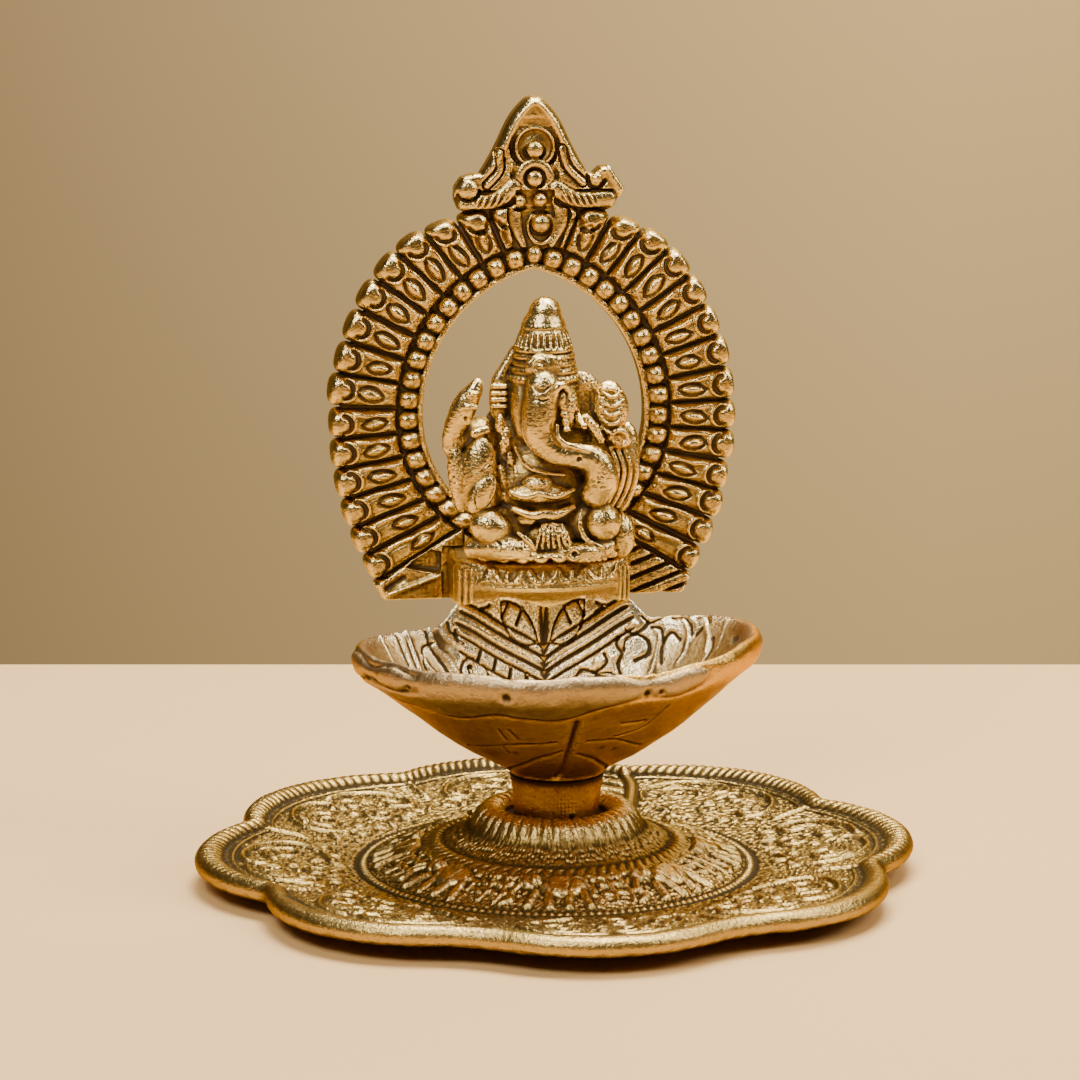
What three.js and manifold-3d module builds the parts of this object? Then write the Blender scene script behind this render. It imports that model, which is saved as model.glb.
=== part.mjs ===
// Cast diya oil lamp: a lobed dish, a short spacer stem, a heart-shaped leaf bowl, and on the back of
// the bowl a seat that carries a seated elephant-headed figure in front of an openwork arch.
// Millimetres, +Z up, -Y is the front. The origin is on the stem axis, on the table.

import * as THREE from 'three';
import { mergeVertices } from 'three/addons/utils/BufferGeometryUtils.js';
import Module from 'manifold-3d';

const wasm = await Module();
wasm.setup();

// ---------------------------------------------------------------- driving dimensions

const GAP = 0.3;                    // left between two pieces that touch

const PLATE_RADIUS = 70;            // to the outermost point of a lobe
const PLATE_LOBES = 8;
const LOBE_ARC_RADIUS = 31;         // each lobe is an arc of this radius
const RIM_TOP = 6.9;
const LOBES_BEGIN_AT = 0.6;         // share of the radius that stays round
const PLATE_SEGMENTS = 64;

const STEM_FLOOR = 11.6;            // top of the recess in the plate's boss
const STEM_TOP_RADIUS = 9.1;
const STEM_FOOT_RADIUS = 8.2;
const STEM_HEIGHT = 8.4;

const BOWL_HALF_WIDTH = 39.5;
const BOWL_FRONT_REACH = 34;
const BOWL_BACK_REACH = 19.6;
const BOWL_RIM = 45.5;
const BOWL_BACK_RISE = 4.2;         // the two back lobes stand this much above the rim
const CLEFT_DEPTH = 2.4;            // heart cleft between the back lobes
const BOWL_SEGMENTS = 56;
const LUG_HALF_WIDTH = 14;
const LUG_THICKNESS = 4;
const LUG_FRONT = 16;

const SEAT_FLOOR = 50.3;
const SEAT_HEIGHT = 9.2;
const SEAT_HALF_WIDTH = 18;
const SEAT_FRONT = 8;
const SEAT_MIDDLE = 19;             // the front half is an ellipse, the back half is straight
const SEAT_BACK = 29;

const ARCH_CENTRE = 86;             // height of the widest point
const ARCH_FRONT = SEAT_BACK + GAP;
const ARCH_THICKNESS = 3.7;
const ARCH_FLOOR = 48;
const WINDOW_HALF_WIDTH = 22;
const WINDOW_RISE = 28.4;           // from the widest point to the pointed crown
const WINDOW_DROP = 23;
const RING_WIDTH = 18.5;            // window edge to petal ends
const OUTER_DROP = 54;              // semi-axis of the lower outer ellipse
const PETALS_PER_SIDE = 16;
const NOTCH_REACH = 0.92;           // notches between petals, as a share of the ring width
const BEADS_PER_SIDE = 18;
const FINIAL_BASE = 122;
const FINIAL_TIP = 148.2;

const FIGURE_FLOOR = SEAT_FLOOR + SEAT_HEIGHT + GAP;
const FIGURE_Y = 18;

const BOLT_RADIUS = 2.45;           // M5
const BOLT_HOLE = 2.9;
const SCREW_RADIUS = 1.3;           // M3 with its thread root
const SCREW_HOLE = 1.65;
const SCREW_HEAD_RADIUS = 2.6;
const SCREW_HEAD_HEIGHT = 1.9;
const SEAT_SCREW = { x: 8, y: 24.6, top: 55 };
const ARCH_SCREW = { x: 13, z: 55.6, tip: 23.2 };
const FIGURE_SCREW_TOP = 66.5;
const TIP_CLEARANCE = 0.6;          // blind bores run this much past the screw's end

// ---------------------------------------------------------------- materials

function brass(color, roughness) {
  return new THREE.MeshStandardMaterial({ color, roughness, metalness: 1 });
}

const antiqueGold = brass(0xc8963c, 0.36);
const satinAmber = brass(0xc48a34, 0.3);
const paleBrass = brass(0xbc9a4c, 0.38);
const zincSteel = brass(0xb9bcbe, 0.35);

// ---------------------------------------------------------------- solids

function withoutSlivers(indices) {
  const kept = [];
  for (let i = 0; i < indices.length; i += 3) {
    const [a, b, c] = [indices[i], indices[i + 1], indices[i + 2]];
    if (a !== b && b !== c && c !== a) {
      kept.push(a, b, c);
    }
  }
  return new Uint32Array(kept);
}

function toSolid(geometry) {
  const bare = geometry.clone();
  bare.deleteAttribute('normal');
  bare.deleteAttribute('uv');
  const merged = mergeVertices(bare);
  const vertProperties = new Float32Array(merged.attributes.position.array);
  const triVerts = withoutSlivers(merged.index.array);
  return new wasm.Manifold(new wasm.Mesh({ numProp: 3, vertProperties, triVerts }));
}

function toGeometry(solid) {
  const mesh = solid.getMesh();
  const geometry = new THREE.BufferGeometry();
  geometry.setAttribute('position', new THREE.BufferAttribute(mesh.vertProperties, 3));
  geometry.setIndex(new THREE.BufferAttribute(mesh.triVerts, 1));
  geometry.computeVertexNormals();
  return geometry;
}

function joined(geometries) {
  return geometries.map(toSolid).reduce((whole, piece) => whole.add(piece));
}

function cutBy(solid, geometries) {
  return geometries.map(toSolid).reduce((rest, tool) => rest.subtract(tool), solid);
}

// A closed profile of [radius, height] points turned about the Z axis.
function turned(profile, segments) {
  const points = profile.map(([radius, height]) => new THREE.Vector2(radius, height));
  return new THREE.LatheGeometry(points, segments).rotateX(Math.PI / 2);
}

// A round rod along Z, from bottom to top.
function upright(radius, x, y, bottom, top) {
  const rod = new THREE.CylinderGeometry(radius, radius, top - bottom, 12);
  return rod.rotateX(Math.PI / 2).translate(x, y, (bottom + top) / 2);
}

// A round rod along Y, from front to back.
function lengthwise(radius, x, z, front, back) {
  return new THREE.CylinderGeometry(radius, radius, back - front, 14).translate(x, (front + back) / 2, z);
}

function box(x0, x1, y0, y1, z0, z1) {
  const geometry = new THREE.BoxGeometry(x1 - x0, y1 - y0, z1 - z0);
  return geometry.translate((x0 + x1) / 2, (y0 + y1) / 2, (z0 + z1) / 2);
}

function blob(centre, radii, around = 9, down = 6) {
  return new THREE.SphereGeometry(1, around, down).scale(...radii).translate(...centre);
}

// Round-ended rods from point to point, growing or shrinking from the first radius to the last.
function limb(points, firstRadius, lastRadius) {
  const ends = points.map((p) => new THREE.Vector3(...p));
  const up = new THREE.Vector3(0, 1, 0);
  return ends.slice(1).map((end, i) => {
    const along = end.clone().sub(ends[i]);
    const radius = THREE.MathUtils.lerp(firstRadius, lastRadius, (i + 0.5) / (ends.length - 1));
    const turn = new THREE.Quaternion().setFromUnitVectors(up, along.clone().normalize());
    const middle = end.clone().add(ends[i]).multiplyScalar(0.5);
    return new THREE.CapsuleGeometry(radius, along.length(), 2, 7)
      .applyQuaternion(turn)
      .translate(...middle.toArray());
  });
}

function moveVertices(geometry, move) {
  const position = geometry.attributes.position;
  for (let i = 0; i < position.count; i += 1) {
    const moved = move(position.getX(i), position.getY(i), position.getZ(i));
    position.setXYZ(i, ...moved);
  }
  return geometry;
}

// ---------------------------------------------------------------- base plate

// Radius of the lobed outline at an angle, lobe centres on the axes.
function lobedRadius(angle) {
  const step = (2 * Math.PI) / PLATE_LOBES;
  const fromLobe = angle - step * Math.round(angle / step);
  const centre = PLATE_RADIUS - LOBE_ARC_RADIUS;
  const side = centre * Math.sin(fromLobe);
  return centre * Math.cos(fromLobe) + Math.sqrt(LOBE_ARC_RADIUS ** 2 - side ** 2);
}

function basePlate() {
  const profile = [
    [BOLT_HOLE, 9], [12, 9], [17.5, 7.4], [22.5, 4.4], [28, 2.2],       // hollow under the boss
    [35.5, 0], [41.5, 0],                                               // foot ring
    [52, 1.6], [62, 2.6], [68.4, 3.2], [PLATE_RADIUS, 5],               // rising underside
    [68.9, 6.6], [67.2, RIM_TOP], [65, 5.9],                            // rounded lip
    [58, 4.4], [38.8, 2.3], [37.2, 3.1], [35.6, 2.6],                   // dish and its beaded circle
    [25.4, 5.7], [23.4, 7.2], [21, 7.8],                                // lower ring of the boss
    [16.8, 9.9], [15.6, 12.6], [12.6, 14.4], [9.9, 13.4],               // upper ring
    [9.5, STEM_FLOOR], [BOLT_HOLE, STEM_FLOOR], [BOLT_HOLE, 9],         // recess for the stem
  ];
  const begin = LOBES_BEGIN_AT * PLATE_RADIUS;
  return moveVertices(turned(profile, PLATE_SEGMENTS), (x, y, z) => {
    const radius = Math.hypot(x, y);
    const share = THREE.MathUtils.smoothstep(radius, begin, PLATE_RADIUS);
    const shrink = 1 - share * (1 - lobedRadius(Math.atan2(y, x)) / PLATE_RADIUS);
    return [x * shrink, y * shrink, z];
  });
}

// ---------------------------------------------------------------- stem

const STEM_BOTTOM = STEM_FLOOR + GAP;
const STEM_TOP = STEM_BOTTOM + STEM_HEIGHT;

function stem() {
  return turned([
    [BOLT_HOLE, STEM_BOTTOM], [STEM_FOOT_RADIUS, STEM_BOTTOM],
    [STEM_FOOT_RADIUS + 0.2, STEM_BOTTOM + 4.6], [STEM_TOP_RADIUS, STEM_TOP],
    [BOLT_HOLE, STEM_TOP], [BOLT_HOLE, STEM_BOTTOM],
  ], 32);
}

// ---------------------------------------------------------------- leaf bowl

const BOWL_BOTTOM = STEM_TOP + GAP;
const HUB_RADIUS = 9.1;
const BLIND_BORE_TOP = 25.2;
const TAPPED_HOLE = BOLT_RADIUS + GAP;

// Plan radius of the leaf outline, +90 degrees is the cleft at the back.
function leafRadius(angle) {
  const reach = Math.sin(angle) < 0 ? BOWL_FRONT_REACH : BOWL_BACK_REACH;
  const ellipse = 1 / Math.hypot(Math.cos(angle) / BOWL_HALF_WIDTH, Math.sin(angle) / reach);
  const fromCleft = (angle - Math.PI / 2) / 0.2;
  return ellipse - CLEFT_DEPTH * Math.exp(-fromCleft * fromCleft);
}

// 1 on the two back lobes, 0 on the sides and front.
function backShare(angle) {
  return THREE.MathUtils.smoothstep(Math.sin(angle), 0.55, 0.9);
}

function bowl() {
  const profile = [
    [0, BLIND_BORE_TOP], [TAPPED_HOLE, BLIND_BORE_TOP], [TAPPED_HOLE, BOWL_BOTTOM],
    [HUB_RADIUS, BOWL_BOTTOM], [HUB_RADIUS + 2, 22.6], [18, 26.2], [24, 30.4], [30, 35.6],
    [36, 41], [38.8, 43.2], [BOWL_HALF_WIDTH, 44.6], [38.9, BOWL_RIM], [37.2, 45.2],
    [33, 41.8], [27, 36.2], [20, 31], [12, 27.8], [0, 26.8],
  ];
  const leaf = moveVertices(turned(profile, BOWL_SEGMENTS), (x, y, z) => {
    const radius = Math.hypot(x, y);
    const angle = Math.atan2(y, x);
    const outward = THREE.MathUtils.clamp((radius - HUB_RADIUS) / (BOWL_HALF_WIDTH - HUB_RADIUS), 0, 1);
    const stretch = THREE.MathUtils.lerp(1, leafRadius(angle) / BOWL_HALF_WIDTH, Math.sqrt(outward));
    return [x * stretch, y * stretch, z + BOWL_BACK_RISE * backShare(angle) * outward];
  });
  const lugTop = SEAT_FLOOR - GAP;
  const lug = box(-LUG_HALF_WIDTH, LUG_HALF_WIDTH, LUG_FRONT, SEAT_BACK - 1, lugTop - LUG_THICKNESS, lugTop);
  const lugFloor = lugTop - LUG_THICKNESS;
  const holes = [-1, 1].flatMap((side) => [
    upright(SCREW_HOLE, side * SEAT_SCREW.x, SEAT_SCREW.y, lugFloor - 1, lugTop + 1),
    upright(SCREW_HEAD_RADIUS + 0.5, side * SEAT_SCREW.x, SEAT_SCREW.y, lugFloor - 10, lugFloor),
  ]);
  return toGeometry(cutBy(joined([leaf, lug]), holes));
}

// ---------------------------------------------------------------- seat

// D-shaped plan: elliptical front, straight sides and back.
function seatLayer(inset, bottom, top) {
  const halfWidth = SEAT_HALF_WIDTH - inset;
  const reach = SEAT_MIDDLE - SEAT_FRONT - inset;
  const plan = new THREE.Shape();
  plan.moveTo(halfWidth, SEAT_BACK);
  plan.lineTo(-halfWidth, SEAT_BACK);
  plan.lineTo(-halfWidth, SEAT_MIDDLE);
  plan.absellipse(0, SEAT_MIDDLE, halfWidth, reach, Math.PI, 2 * Math.PI, false, 0);
  const layer = new THREE.ExtrudeGeometry(plan, { depth: top - bottom, bevelEnabled: false, curveSegments: 20 });
  return layer.translate(0, 0, bottom);
}

const SEAT_TOP = SEAT_FLOOR + SEAT_HEIGHT;
const SEAT_POCKET_TOP = SEAT_TOP - 3;

function seat() {
  const layers = [
    seatLayer(1.4, SEAT_FLOOR, SEAT_FLOOR + 3.2),
    seatLayer(0, SEAT_FLOOR + 3, SEAT_FLOOR + 4.4),
    seatLayer(1.2, SEAT_FLOOR + 4.2, SEAT_TOP - 1.4),
    seatLayer(0.5, SEAT_TOP - 1.6, SEAT_TOP),
  ];
  const belowSeat = SEAT_FLOOR - 1;
  const fixing = [-1, 1].flatMap((side) => [
    upright(SCREW_HOLE, SEAT_SCREW.x * side, SEAT_SCREW.y, belowSeat, SEAT_SCREW.top + TIP_CLEARANCE),
    lengthwise(SCREW_HOLE, ARCH_SCREW.x * side, ARCH_SCREW.z, ARCH_SCREW.tip - TIP_CLEARANCE, SEAT_BACK + 1),
  ]);
  const pocket = upright(SCREW_HEAD_RADIUS + 1.4, 0, FIGURE_Y, belowSeat, SEAT_POCKET_TOP);
  const through = upright(SCREW_HOLE, 0, FIGURE_Y, belowSeat, SEAT_TOP + 1);
  return toGeometry(cutBy(joined(layers), [...fixing, pocket, through]));
}

// ---------------------------------------------------------------- arch

// Upper part: arcs struck from a centre past the middle, so that they meet in a point.
const ARC_OFFSET = (WINDOW_RISE ** 2 - WINDOW_HALF_WIDTH ** 2) / (2 * WINDOW_HALF_WIDTH);
const WINDOW_ARC = WINDOW_HALF_WIDTH + ARC_OFFSET;
const CROWN_ANGLE = Math.atan2(WINDOW_RISE, ARC_OFFSET);
const LOWER_INNER_END = 1.25;       // ellipse angle at which the bead row ends, low behind the seat
const LOWER_OUTER_END = Math.asin((ARCH_CENTRE - ARCH_FLOOR) / OUTER_DROP);
const LOWER_SHARE = 0.42;           // share of each side that lies below the widest point

// Window edge and petal end of the right-hand side: 0 is the foot, 1 is the crown.
function archEdges(share) {
  if (share < LOWER_SHARE) {
    const down = 1 - share / LOWER_SHARE;
    const innerAngle = down * LOWER_INNER_END;
    const outerAngle = down * LOWER_OUTER_END;
    const outerHalf = WINDOW_HALF_WIDTH + RING_WIDTH;
    return [
      [WINDOW_HALF_WIDTH * Math.cos(innerAngle), ARCH_CENTRE - WINDOW_DROP * Math.sin(innerAngle)],
      [outerHalf * Math.cos(outerAngle), ARCH_CENTRE - OUTER_DROP * Math.sin(outerAngle)],
    ];
  }
  const up = (share - LOWER_SHARE) / (1 - LOWER_SHARE);
  const angle = up * CROWN_ANGLE;
  const width = RING_WIDTH - 5 * THREE.MathUtils.smoothstep(up, 0.55, 1);
  return [WINDOW_ARC, WINDOW_ARC + width].map((radius) => [
    radius * Math.cos(angle) - ARC_OFFSET,
    ARCH_CENTRE + radius * Math.sin(angle),
  ]);
}

// A thin upright slab cut to an outline drawn in x and z, its front face at y.
function slab(outline, hole, front, thickness) {
  const shape = new THREE.Shape(outline.map(([x, z]) => new THREE.Vector2(x, z)));
  if (hole) {
    shape.holes.push(new THREE.Path(hole.map(([x, z]) => new THREE.Vector2(x, z))));
  }
  const geometry = new THREE.ExtrudeGeometry(shape, { depth: thickness, bevelEnabled: false });
  return geometry.rotateX(Math.PI / 2).translate(0, front + thickness, 0);
}

function mirrored(points) {
  return [...points, ...points.map(([x, z]) => [-x, z]).reverse()];
}

function archBody() {
  const outer = [];
  const inner = [];
  const steps = 3 * PETALS_PER_SIDE;
  for (let i = 0; i <= steps; i += 1) {
    const [edge, end] = archEdges(i / steps);
    const dip = i % 3 === 0 ? NOTCH_REACH : 1;
    outer.push([edge[0] + (end[0] - edge[0]) * dip, edge[1] + (end[1] - edge[1]) * dip]);
    if (i % 2 === 0 && i < steps) {
      inner.push(edge);
    }
  }
  const crown = [0, ARCH_CENTRE + WINDOW_RISE];
  const hole = [...inner, crown, ...inner.map(([x, z]) => [-x, z]).reverse()];
  return slab(mirrored(outer), hole, ARCH_FRONT, ARCH_THICKNESS);
}

function archPetal(share, side) {
  const [edge, end] = archEdges(share);
  const dx = end[0] - edge[0];
  const dz = end[1] - edge[1];
  const length = Math.hypot(dx, dz);
  const middle = 0.62;
  return blob([0, 0, 0], [length * 0.37, 2.1, 2.6], 6, 5)
    .rotateY(-Math.atan2(dz, dx))
    .translate(edge[0] + dx * middle, ARCH_FRONT + 0.2, edge[1] + dz * middle)
    .scale(side, 1, 1);
}

function archBead(share, side) {
  const [edge, end] = archEdges(share);
  const length = Math.hypot(end[0] - edge[0], end[1] - edge[1]);
  const along = 3 / length;
  const x = edge[0] + (end[0] - edge[0]) * along;
  const z = edge[1] + (end[1] - edge[1]) * along;
  return blob([side * x, ARCH_FRONT, z], [1.6, 1.6, 1.6], 6, 4);
}

function finial() {
  const leaf = [[7.6, FINIAL_BASE], [9, 127], [7.6, 133], [5.4, 138.5], [2.6, 143.5], [0.9, FINIAL_TIP - 0.8]];
  const discs = [[138, 4], [132, 3.8], [127.8, 1.9], [123.3, 2.4]].map(([z, radius]) => (
    lengthwise(radius, 0, z, ARCH_FRONT - 1.8, ARCH_FRONT + 0.6)
  ));
  const scrolls = [-1, 1].flatMap((side) => [
    blob([side * 12.6, ARCH_FRONT + 1.4, 126.6], [5.4, 2.3, 2.6], 8, 6),
    blob([side * 14.4, ARCH_FRONT + 1.2, 130], [2.4, 2.3, 2.4], 8, 6),
  ]);
  const tip = [[0, FINIAL_TIP]];
  const outline = [...leaf, ...tip, ...leaf.map(([x, z]) => [-x, z]).reverse()];
  return [slab(outline, null, ARCH_FRONT - 0.9, ARCH_THICKNESS + 0.6), ...discs, ...scrolls];
}

function mirroredRow(count, first, last, make) {
  const row = [];
  for (let i = 0; i < count; i += 1) {
    const share = THREE.MathUtils.lerp(first, last, i / (count - 1));
    row.push(make(share, 1), make(share, -1));
  }
  return row;
}

function arch() {
  const petals = mirroredRow(PETALS_PER_SIDE, 0.5 / PETALS_PER_SIDE, 0.93, archPetal)
    .map((petal, i) => (i % 2 === 0 ? petal : flipped(petal)));
  const beads = mirroredRow(BEADS_PER_SIDE, 0.02, 0.985, archBead);
  const holes = [-1, 1].map((side) => (
    lengthwise(SCREW_HOLE, side * ARCH_SCREW.x, ARCH_SCREW.z, SEAT_BACK, ARCH_FRONT + ARCH_THICKNESS + 1)
  ));
  const relief = [archBody(), ...petals, ...beads, ...finial()];
  const behindSeat = box(
    -SEAT_HALF_WIDTH - GAP, SEAT_HALF_WIDTH + GAP, 0, ARCH_FRONT, ARCH_FLOOR, SEAT_TOP + GAP,
  );
  return toGeometry(cutBy(joined(relief), [...holes, behindSeat]));
}

// Turns the triangles of a mirror-scaled geometry outward again.
function flipped(geometry) {
  const index = geometry.index.array;
  for (let i = 0; i < index.length; i += 3) {
    [index[i], index[i + 1]] = [index[i + 1], index[i]];
  }
  return geometry;
}

// ---------------------------------------------------------------- figure

function figureCrown() {
  return turned([
    [0, 92], [6.4, 94], [6.9, 96.4], [5.9, 98.2], [6, 100.4], [5, 101.6], [5, 104], [4, 105.2],
    [4, 108], [3, 109.6], [0, 110.6],
  ], 12).translate(0, FIGURE_Y - 0.6, 0);
}

function figureTrunk() {
  return limb([[0.4, 12, 91], [0.4, 9, 81], [5.6, 8.8, 78.2], [11.4, 9.4, 77.6], [9.6, 10.4, 73.4]], 3.7, 2.2);
}

function figureArms(side) {
  const raised = limb([[side * 8, 20, 82], [side * 15.6, 20, 79.6], [side * 15.4, 18.8, 86]], 3.4, 2.8);
  const hand = blob([side * 15.2, 18.2, 90.4], [side < 0 ? 2.2 : 3.4, 2, 4.4]);
  const lowered = limb([[side * 9, 17, 81], [side * 14, 15.6, 76], [side * 12.6, 13.4, 71.4]], 3.2, 2.8);
  return [...raised, hand, ...lowered];
}

function figureLeg(side) {
  return limb([[side * 6, 18, 64.6], [side * 12, 13.4, 66.6], [side * 3, 9.6, 62.8]], 4.8, 3);
}

function figure() {
  const body = [
    blob([0, FIGURE_Y + 1, 62.4], [15, 7, 4.6], 12, 6),
    blob([0, FIGURE_Y + 0.6, 74], [9.8, 6.4, 13], 12, 8),
    blob([0, 14.4, 71.4], [8, 5.6, 7], 10, 6),
    blob([0, FIGURE_Y + 1, 83], [11.4, 4.6, 4.8], 10, 6),
    blob([0, 16.6, 91.4], [7.4, 6.2, 7.2], 10, 7),
    blob([-1.8, 9.8, 72.8], [6.4, 3.4, 2.6]),
    blob([-13.6, 12.6, 77], [3.5, 1.9, 6.4]),
  ];
  const sides = [-1, 1].flatMap((side) => [
    blob([side * 9.4, 18.4, 89.4], [4.4, 1.8, 6.6]),
    ...figureArms(side),
    ...figureLeg(side),
  ]);
  const whole = joined([...body, ...sides, ...figureTrunk(), figureCrown()]);
  const below = box(-30, 30, -10, 40, 40, FIGURE_FLOOR);
  const bore = upright(SCREW_HOLE, 0, FIGURE_Y, FIGURE_FLOOR - 1, FIGURE_SCREW_TOP + TIP_CLEARANCE);
  return toGeometry(cutBy(whole, [below, bore]));
}

// ---------------------------------------------------------------- fasteners

// Pan-head screw along +Z: the head's seating face is at z = 0 and the shank runs up.
function panHeadScrew(radius, headRadius, headHeight, length) {
  return turned([
    [0, -headHeight], [headRadius * 0.62, -headHeight], [headRadius * 0.94, -headHeight * 0.6],
    [headRadius, -headHeight * 0.2], [headRadius, 0], [radius, 0], [radius, length - radius * 0.5],
    [radius * 0.55, length], [0, length],
  ], 12);
}

const WASHER_TOP = 9 - GAP;
const WASHER_THICKNESS = 1;
const BOLT_SEAT = WASHER_TOP - WASHER_THICKNESS - GAP;

function baseWasher() {
  return turned([
    [BOLT_HOLE - 0.1, WASHER_TOP - WASHER_THICKNESS], [5.6, WASHER_TOP - WASHER_THICKNESS],
    [5.6, WASHER_TOP], [BOLT_HOLE - 0.1, WASHER_TOP], [BOLT_HOLE - 0.1, WASHER_TOP - WASHER_THICKNESS],
  ], 20);
}

function smallScrew(length) {
  return panHeadScrew(SCREW_RADIUS, SCREW_HEAD_RADIUS, SCREW_HEAD_HEIGHT, length);
}

// ---------------------------------------------------------------- assembly

const group = new THREE.Group();

function place(name, geometry, material, position = [0, 0, 0]) {
  const mesh = new THREE.Mesh(geometry, material);
  mesh.name = name;
  mesh.position.set(...position);
  group.add(mesh);
  return mesh;
}

place('base_plate', basePlate(), paleBrass);
place('stem', stem(), satinAmber);
place('bowl', bowl(), satinAmber);
place('seat', seat(), antiqueGold);
place('figure', figure(), antiqueGold);
place('arch', arch(), antiqueGold);

place('base_washer', baseWasher(), zincSteel);
place('base_bolt', panHeadScrew(BOLT_RADIUS, 4.4, 3, BLIND_BORE_TOP - TIP_CLEARANCE - BOLT_SEAT), zincSteel, [0, 0, BOLT_SEAT]);

const lugUnderside = SEAT_FLOOR - GAP - LUG_THICKNESS;
const figureScrewSeat = SEAT_POCKET_TOP - GAP;
place('figure_screw', smallScrew(FIGURE_SCREW_TOP - figureScrewSeat), zincSteel, [0, FIGURE_Y, figureScrewSeat]);

for (const [name, side] of [['left', -1], ['right', 1]]) {
  const seatScrewSeat = lugUnderside - GAP;
  place(`seat_screw_${name}`, smallScrew(SEAT_SCREW.top - seatScrewSeat), zincSteel,
    [side * SEAT_SCREW.x, SEAT_SCREW.y, seatScrewSeat]);
  const archBack = ARCH_FRONT + ARCH_THICKNESS + GAP;
  const archScrew = place(`arch_screw_${name}`, smallScrew(archBack - ARCH_SCREW.tip), zincSteel,
    [side * ARCH_SCREW.x, archBack, ARCH_SCREW.z]);
  archScrew.rotation.x = Math.PI / 2;
}

export default group;
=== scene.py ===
"""Cast diya oil lamp: lobed dish, stem, leaf bowl, seat, seated figure and openwork arch.

Shapes are worked out in millimetres and become metres when a mesh is made. The dish, stem and bowl are
closed grids of points pushed along their normals by relief. The arch, seat, figure and screws are solid
fields, negative inside the metal, turned into meshes. Every piece carries a "cavity" value per point,
low in recesses and high on crests, which the antique finish reads: dark patina and painted shade in
recesses, a painted highlight on crests.
"""
from math import asin, atan2, cos, hypot, pi, radians, sin

import bpy
import numpy as np
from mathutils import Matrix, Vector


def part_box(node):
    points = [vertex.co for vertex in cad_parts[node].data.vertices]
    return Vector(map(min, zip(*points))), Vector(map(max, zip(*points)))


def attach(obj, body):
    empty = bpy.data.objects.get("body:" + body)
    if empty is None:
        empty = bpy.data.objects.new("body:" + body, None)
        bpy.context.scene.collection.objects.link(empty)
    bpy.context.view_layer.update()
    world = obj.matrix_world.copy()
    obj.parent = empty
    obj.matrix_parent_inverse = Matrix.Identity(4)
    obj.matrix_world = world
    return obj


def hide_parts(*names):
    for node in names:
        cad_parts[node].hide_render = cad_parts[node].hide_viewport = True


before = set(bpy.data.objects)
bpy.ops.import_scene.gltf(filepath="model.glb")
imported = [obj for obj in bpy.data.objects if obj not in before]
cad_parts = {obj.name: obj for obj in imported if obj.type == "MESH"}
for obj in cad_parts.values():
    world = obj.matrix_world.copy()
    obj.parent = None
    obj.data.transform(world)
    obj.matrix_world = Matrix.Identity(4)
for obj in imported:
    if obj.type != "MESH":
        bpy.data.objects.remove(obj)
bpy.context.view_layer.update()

import openvdb
from mathutils import Vector

MM = 0.001
BODY = "root"


def node_box(name):
    """A node's lowest and highest corners in millimetres."""
    low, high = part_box(name)
    return np.array(low) / MM, np.array(high) / MM


_, PLATE_HIGH = node_box("base_plate")
STEM_LOW, STEM_HIGH = node_box("stem")
BOWL_LOW, BOWL_HIGH = node_box("bowl")
SEAT_LOW, SEAT_HIGH = node_box("seat")
FIGURE_LOW, FIGURE_HIGH = node_box("figure")
ARCH_LOW, ARCH_HIGH = node_box("arch")
ARCH_SCREW_X, _, ARCH_SCREW_Z = sum(node_box("arch_screw_right")) / 2
SEAT_SCREW_X, SEAT_SCREW_Y, _ = sum(node_box("seat_screw_right")) / 2
FIGURE_SCREW_Y = 18
SCREW_HOLE = 1.65           # radius, like the two below
BOLT_HOLE = 2.9
WASHER_HOLE = 2.75


# ------------------------------------------------------------------ numbers and noise

def ramp(x, low, high):
    """0 below low, 1 above high, smooth between."""
    t = np.clip((x - low) / (high - low), 0.0, 1.0)
    return t * t * (3.0 - 2.0 * t)


def bell(x, width):
    return np.exp(-(x / width) ** 2)


def dome(share):
    """Height of a round-topped ridge, where share is 0 on its crest and 1 at its foot."""
    return np.sqrt(np.clip(1.0 - share * share, 0.0, 1.0))


def hashed(i, j, seed):
    value = np.sin(i * 127.1 + j * 311.7 + seed * 74.7) * 43758.5453
    return value - np.floor(value)


def pebbles(x, y, size, seed=0.0):
    """Small round grains about size apart: 1 on a grain's crest, 0 between grains."""
    gx, gy = x / size, y / size
    cell_x, cell_y = np.floor(gx), np.floor(gy)
    nearest = np.full(np.broadcast(gx, gy).shape, 9.0)
    for dx in (-1, 0, 1):
        for dy in (-1, 0, 1):
            i, j = cell_x + dx, cell_y + dy
            px = i + 0.5 + 0.7 * (hashed(i, j, seed) - 0.5)
            py = j + 0.5 + 0.7 * (hashed(i, j, seed + 5.0) - 0.5)
            nearest = np.minimum(nearest, np.hypot(gx - px, gy - py))
    return dome(nearest / 0.55)


def wobble(x, y, z, size, seed=0.0):
    """Slow uneven swell of a hand-finished casting, about -1 to 1."""
    total = 0.0
    for i in range(4):
        turn = 2.4 * i + seed
        k = 2.0 * pi / (size * (1.0 + 0.37 * i))
        total = total + np.sin(k * (x * cos(turn) + y * sin(turn)) + 1.7 * i + seed) * np.cos(
            k * (z * cos(turn + 1.0) + 0.6 * y) + 0.9 * i)
    return total * 0.35


# ------------------------------------------------------------------ flat drawing, in any two coordinates

def segment(x, y, a, b):
    """Distance to a straight line from a to b."""
    dx, dy = b[0] - a[0], b[1] - a[1]
    t = np.clip(((x - a[0]) * dx + (y - a[1]) * dy) / (dx * dx + dy * dy), 0.0, 1.0)
    return np.hypot(x - a[0] - t * dx, y - a[1] - t * dy)


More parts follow.
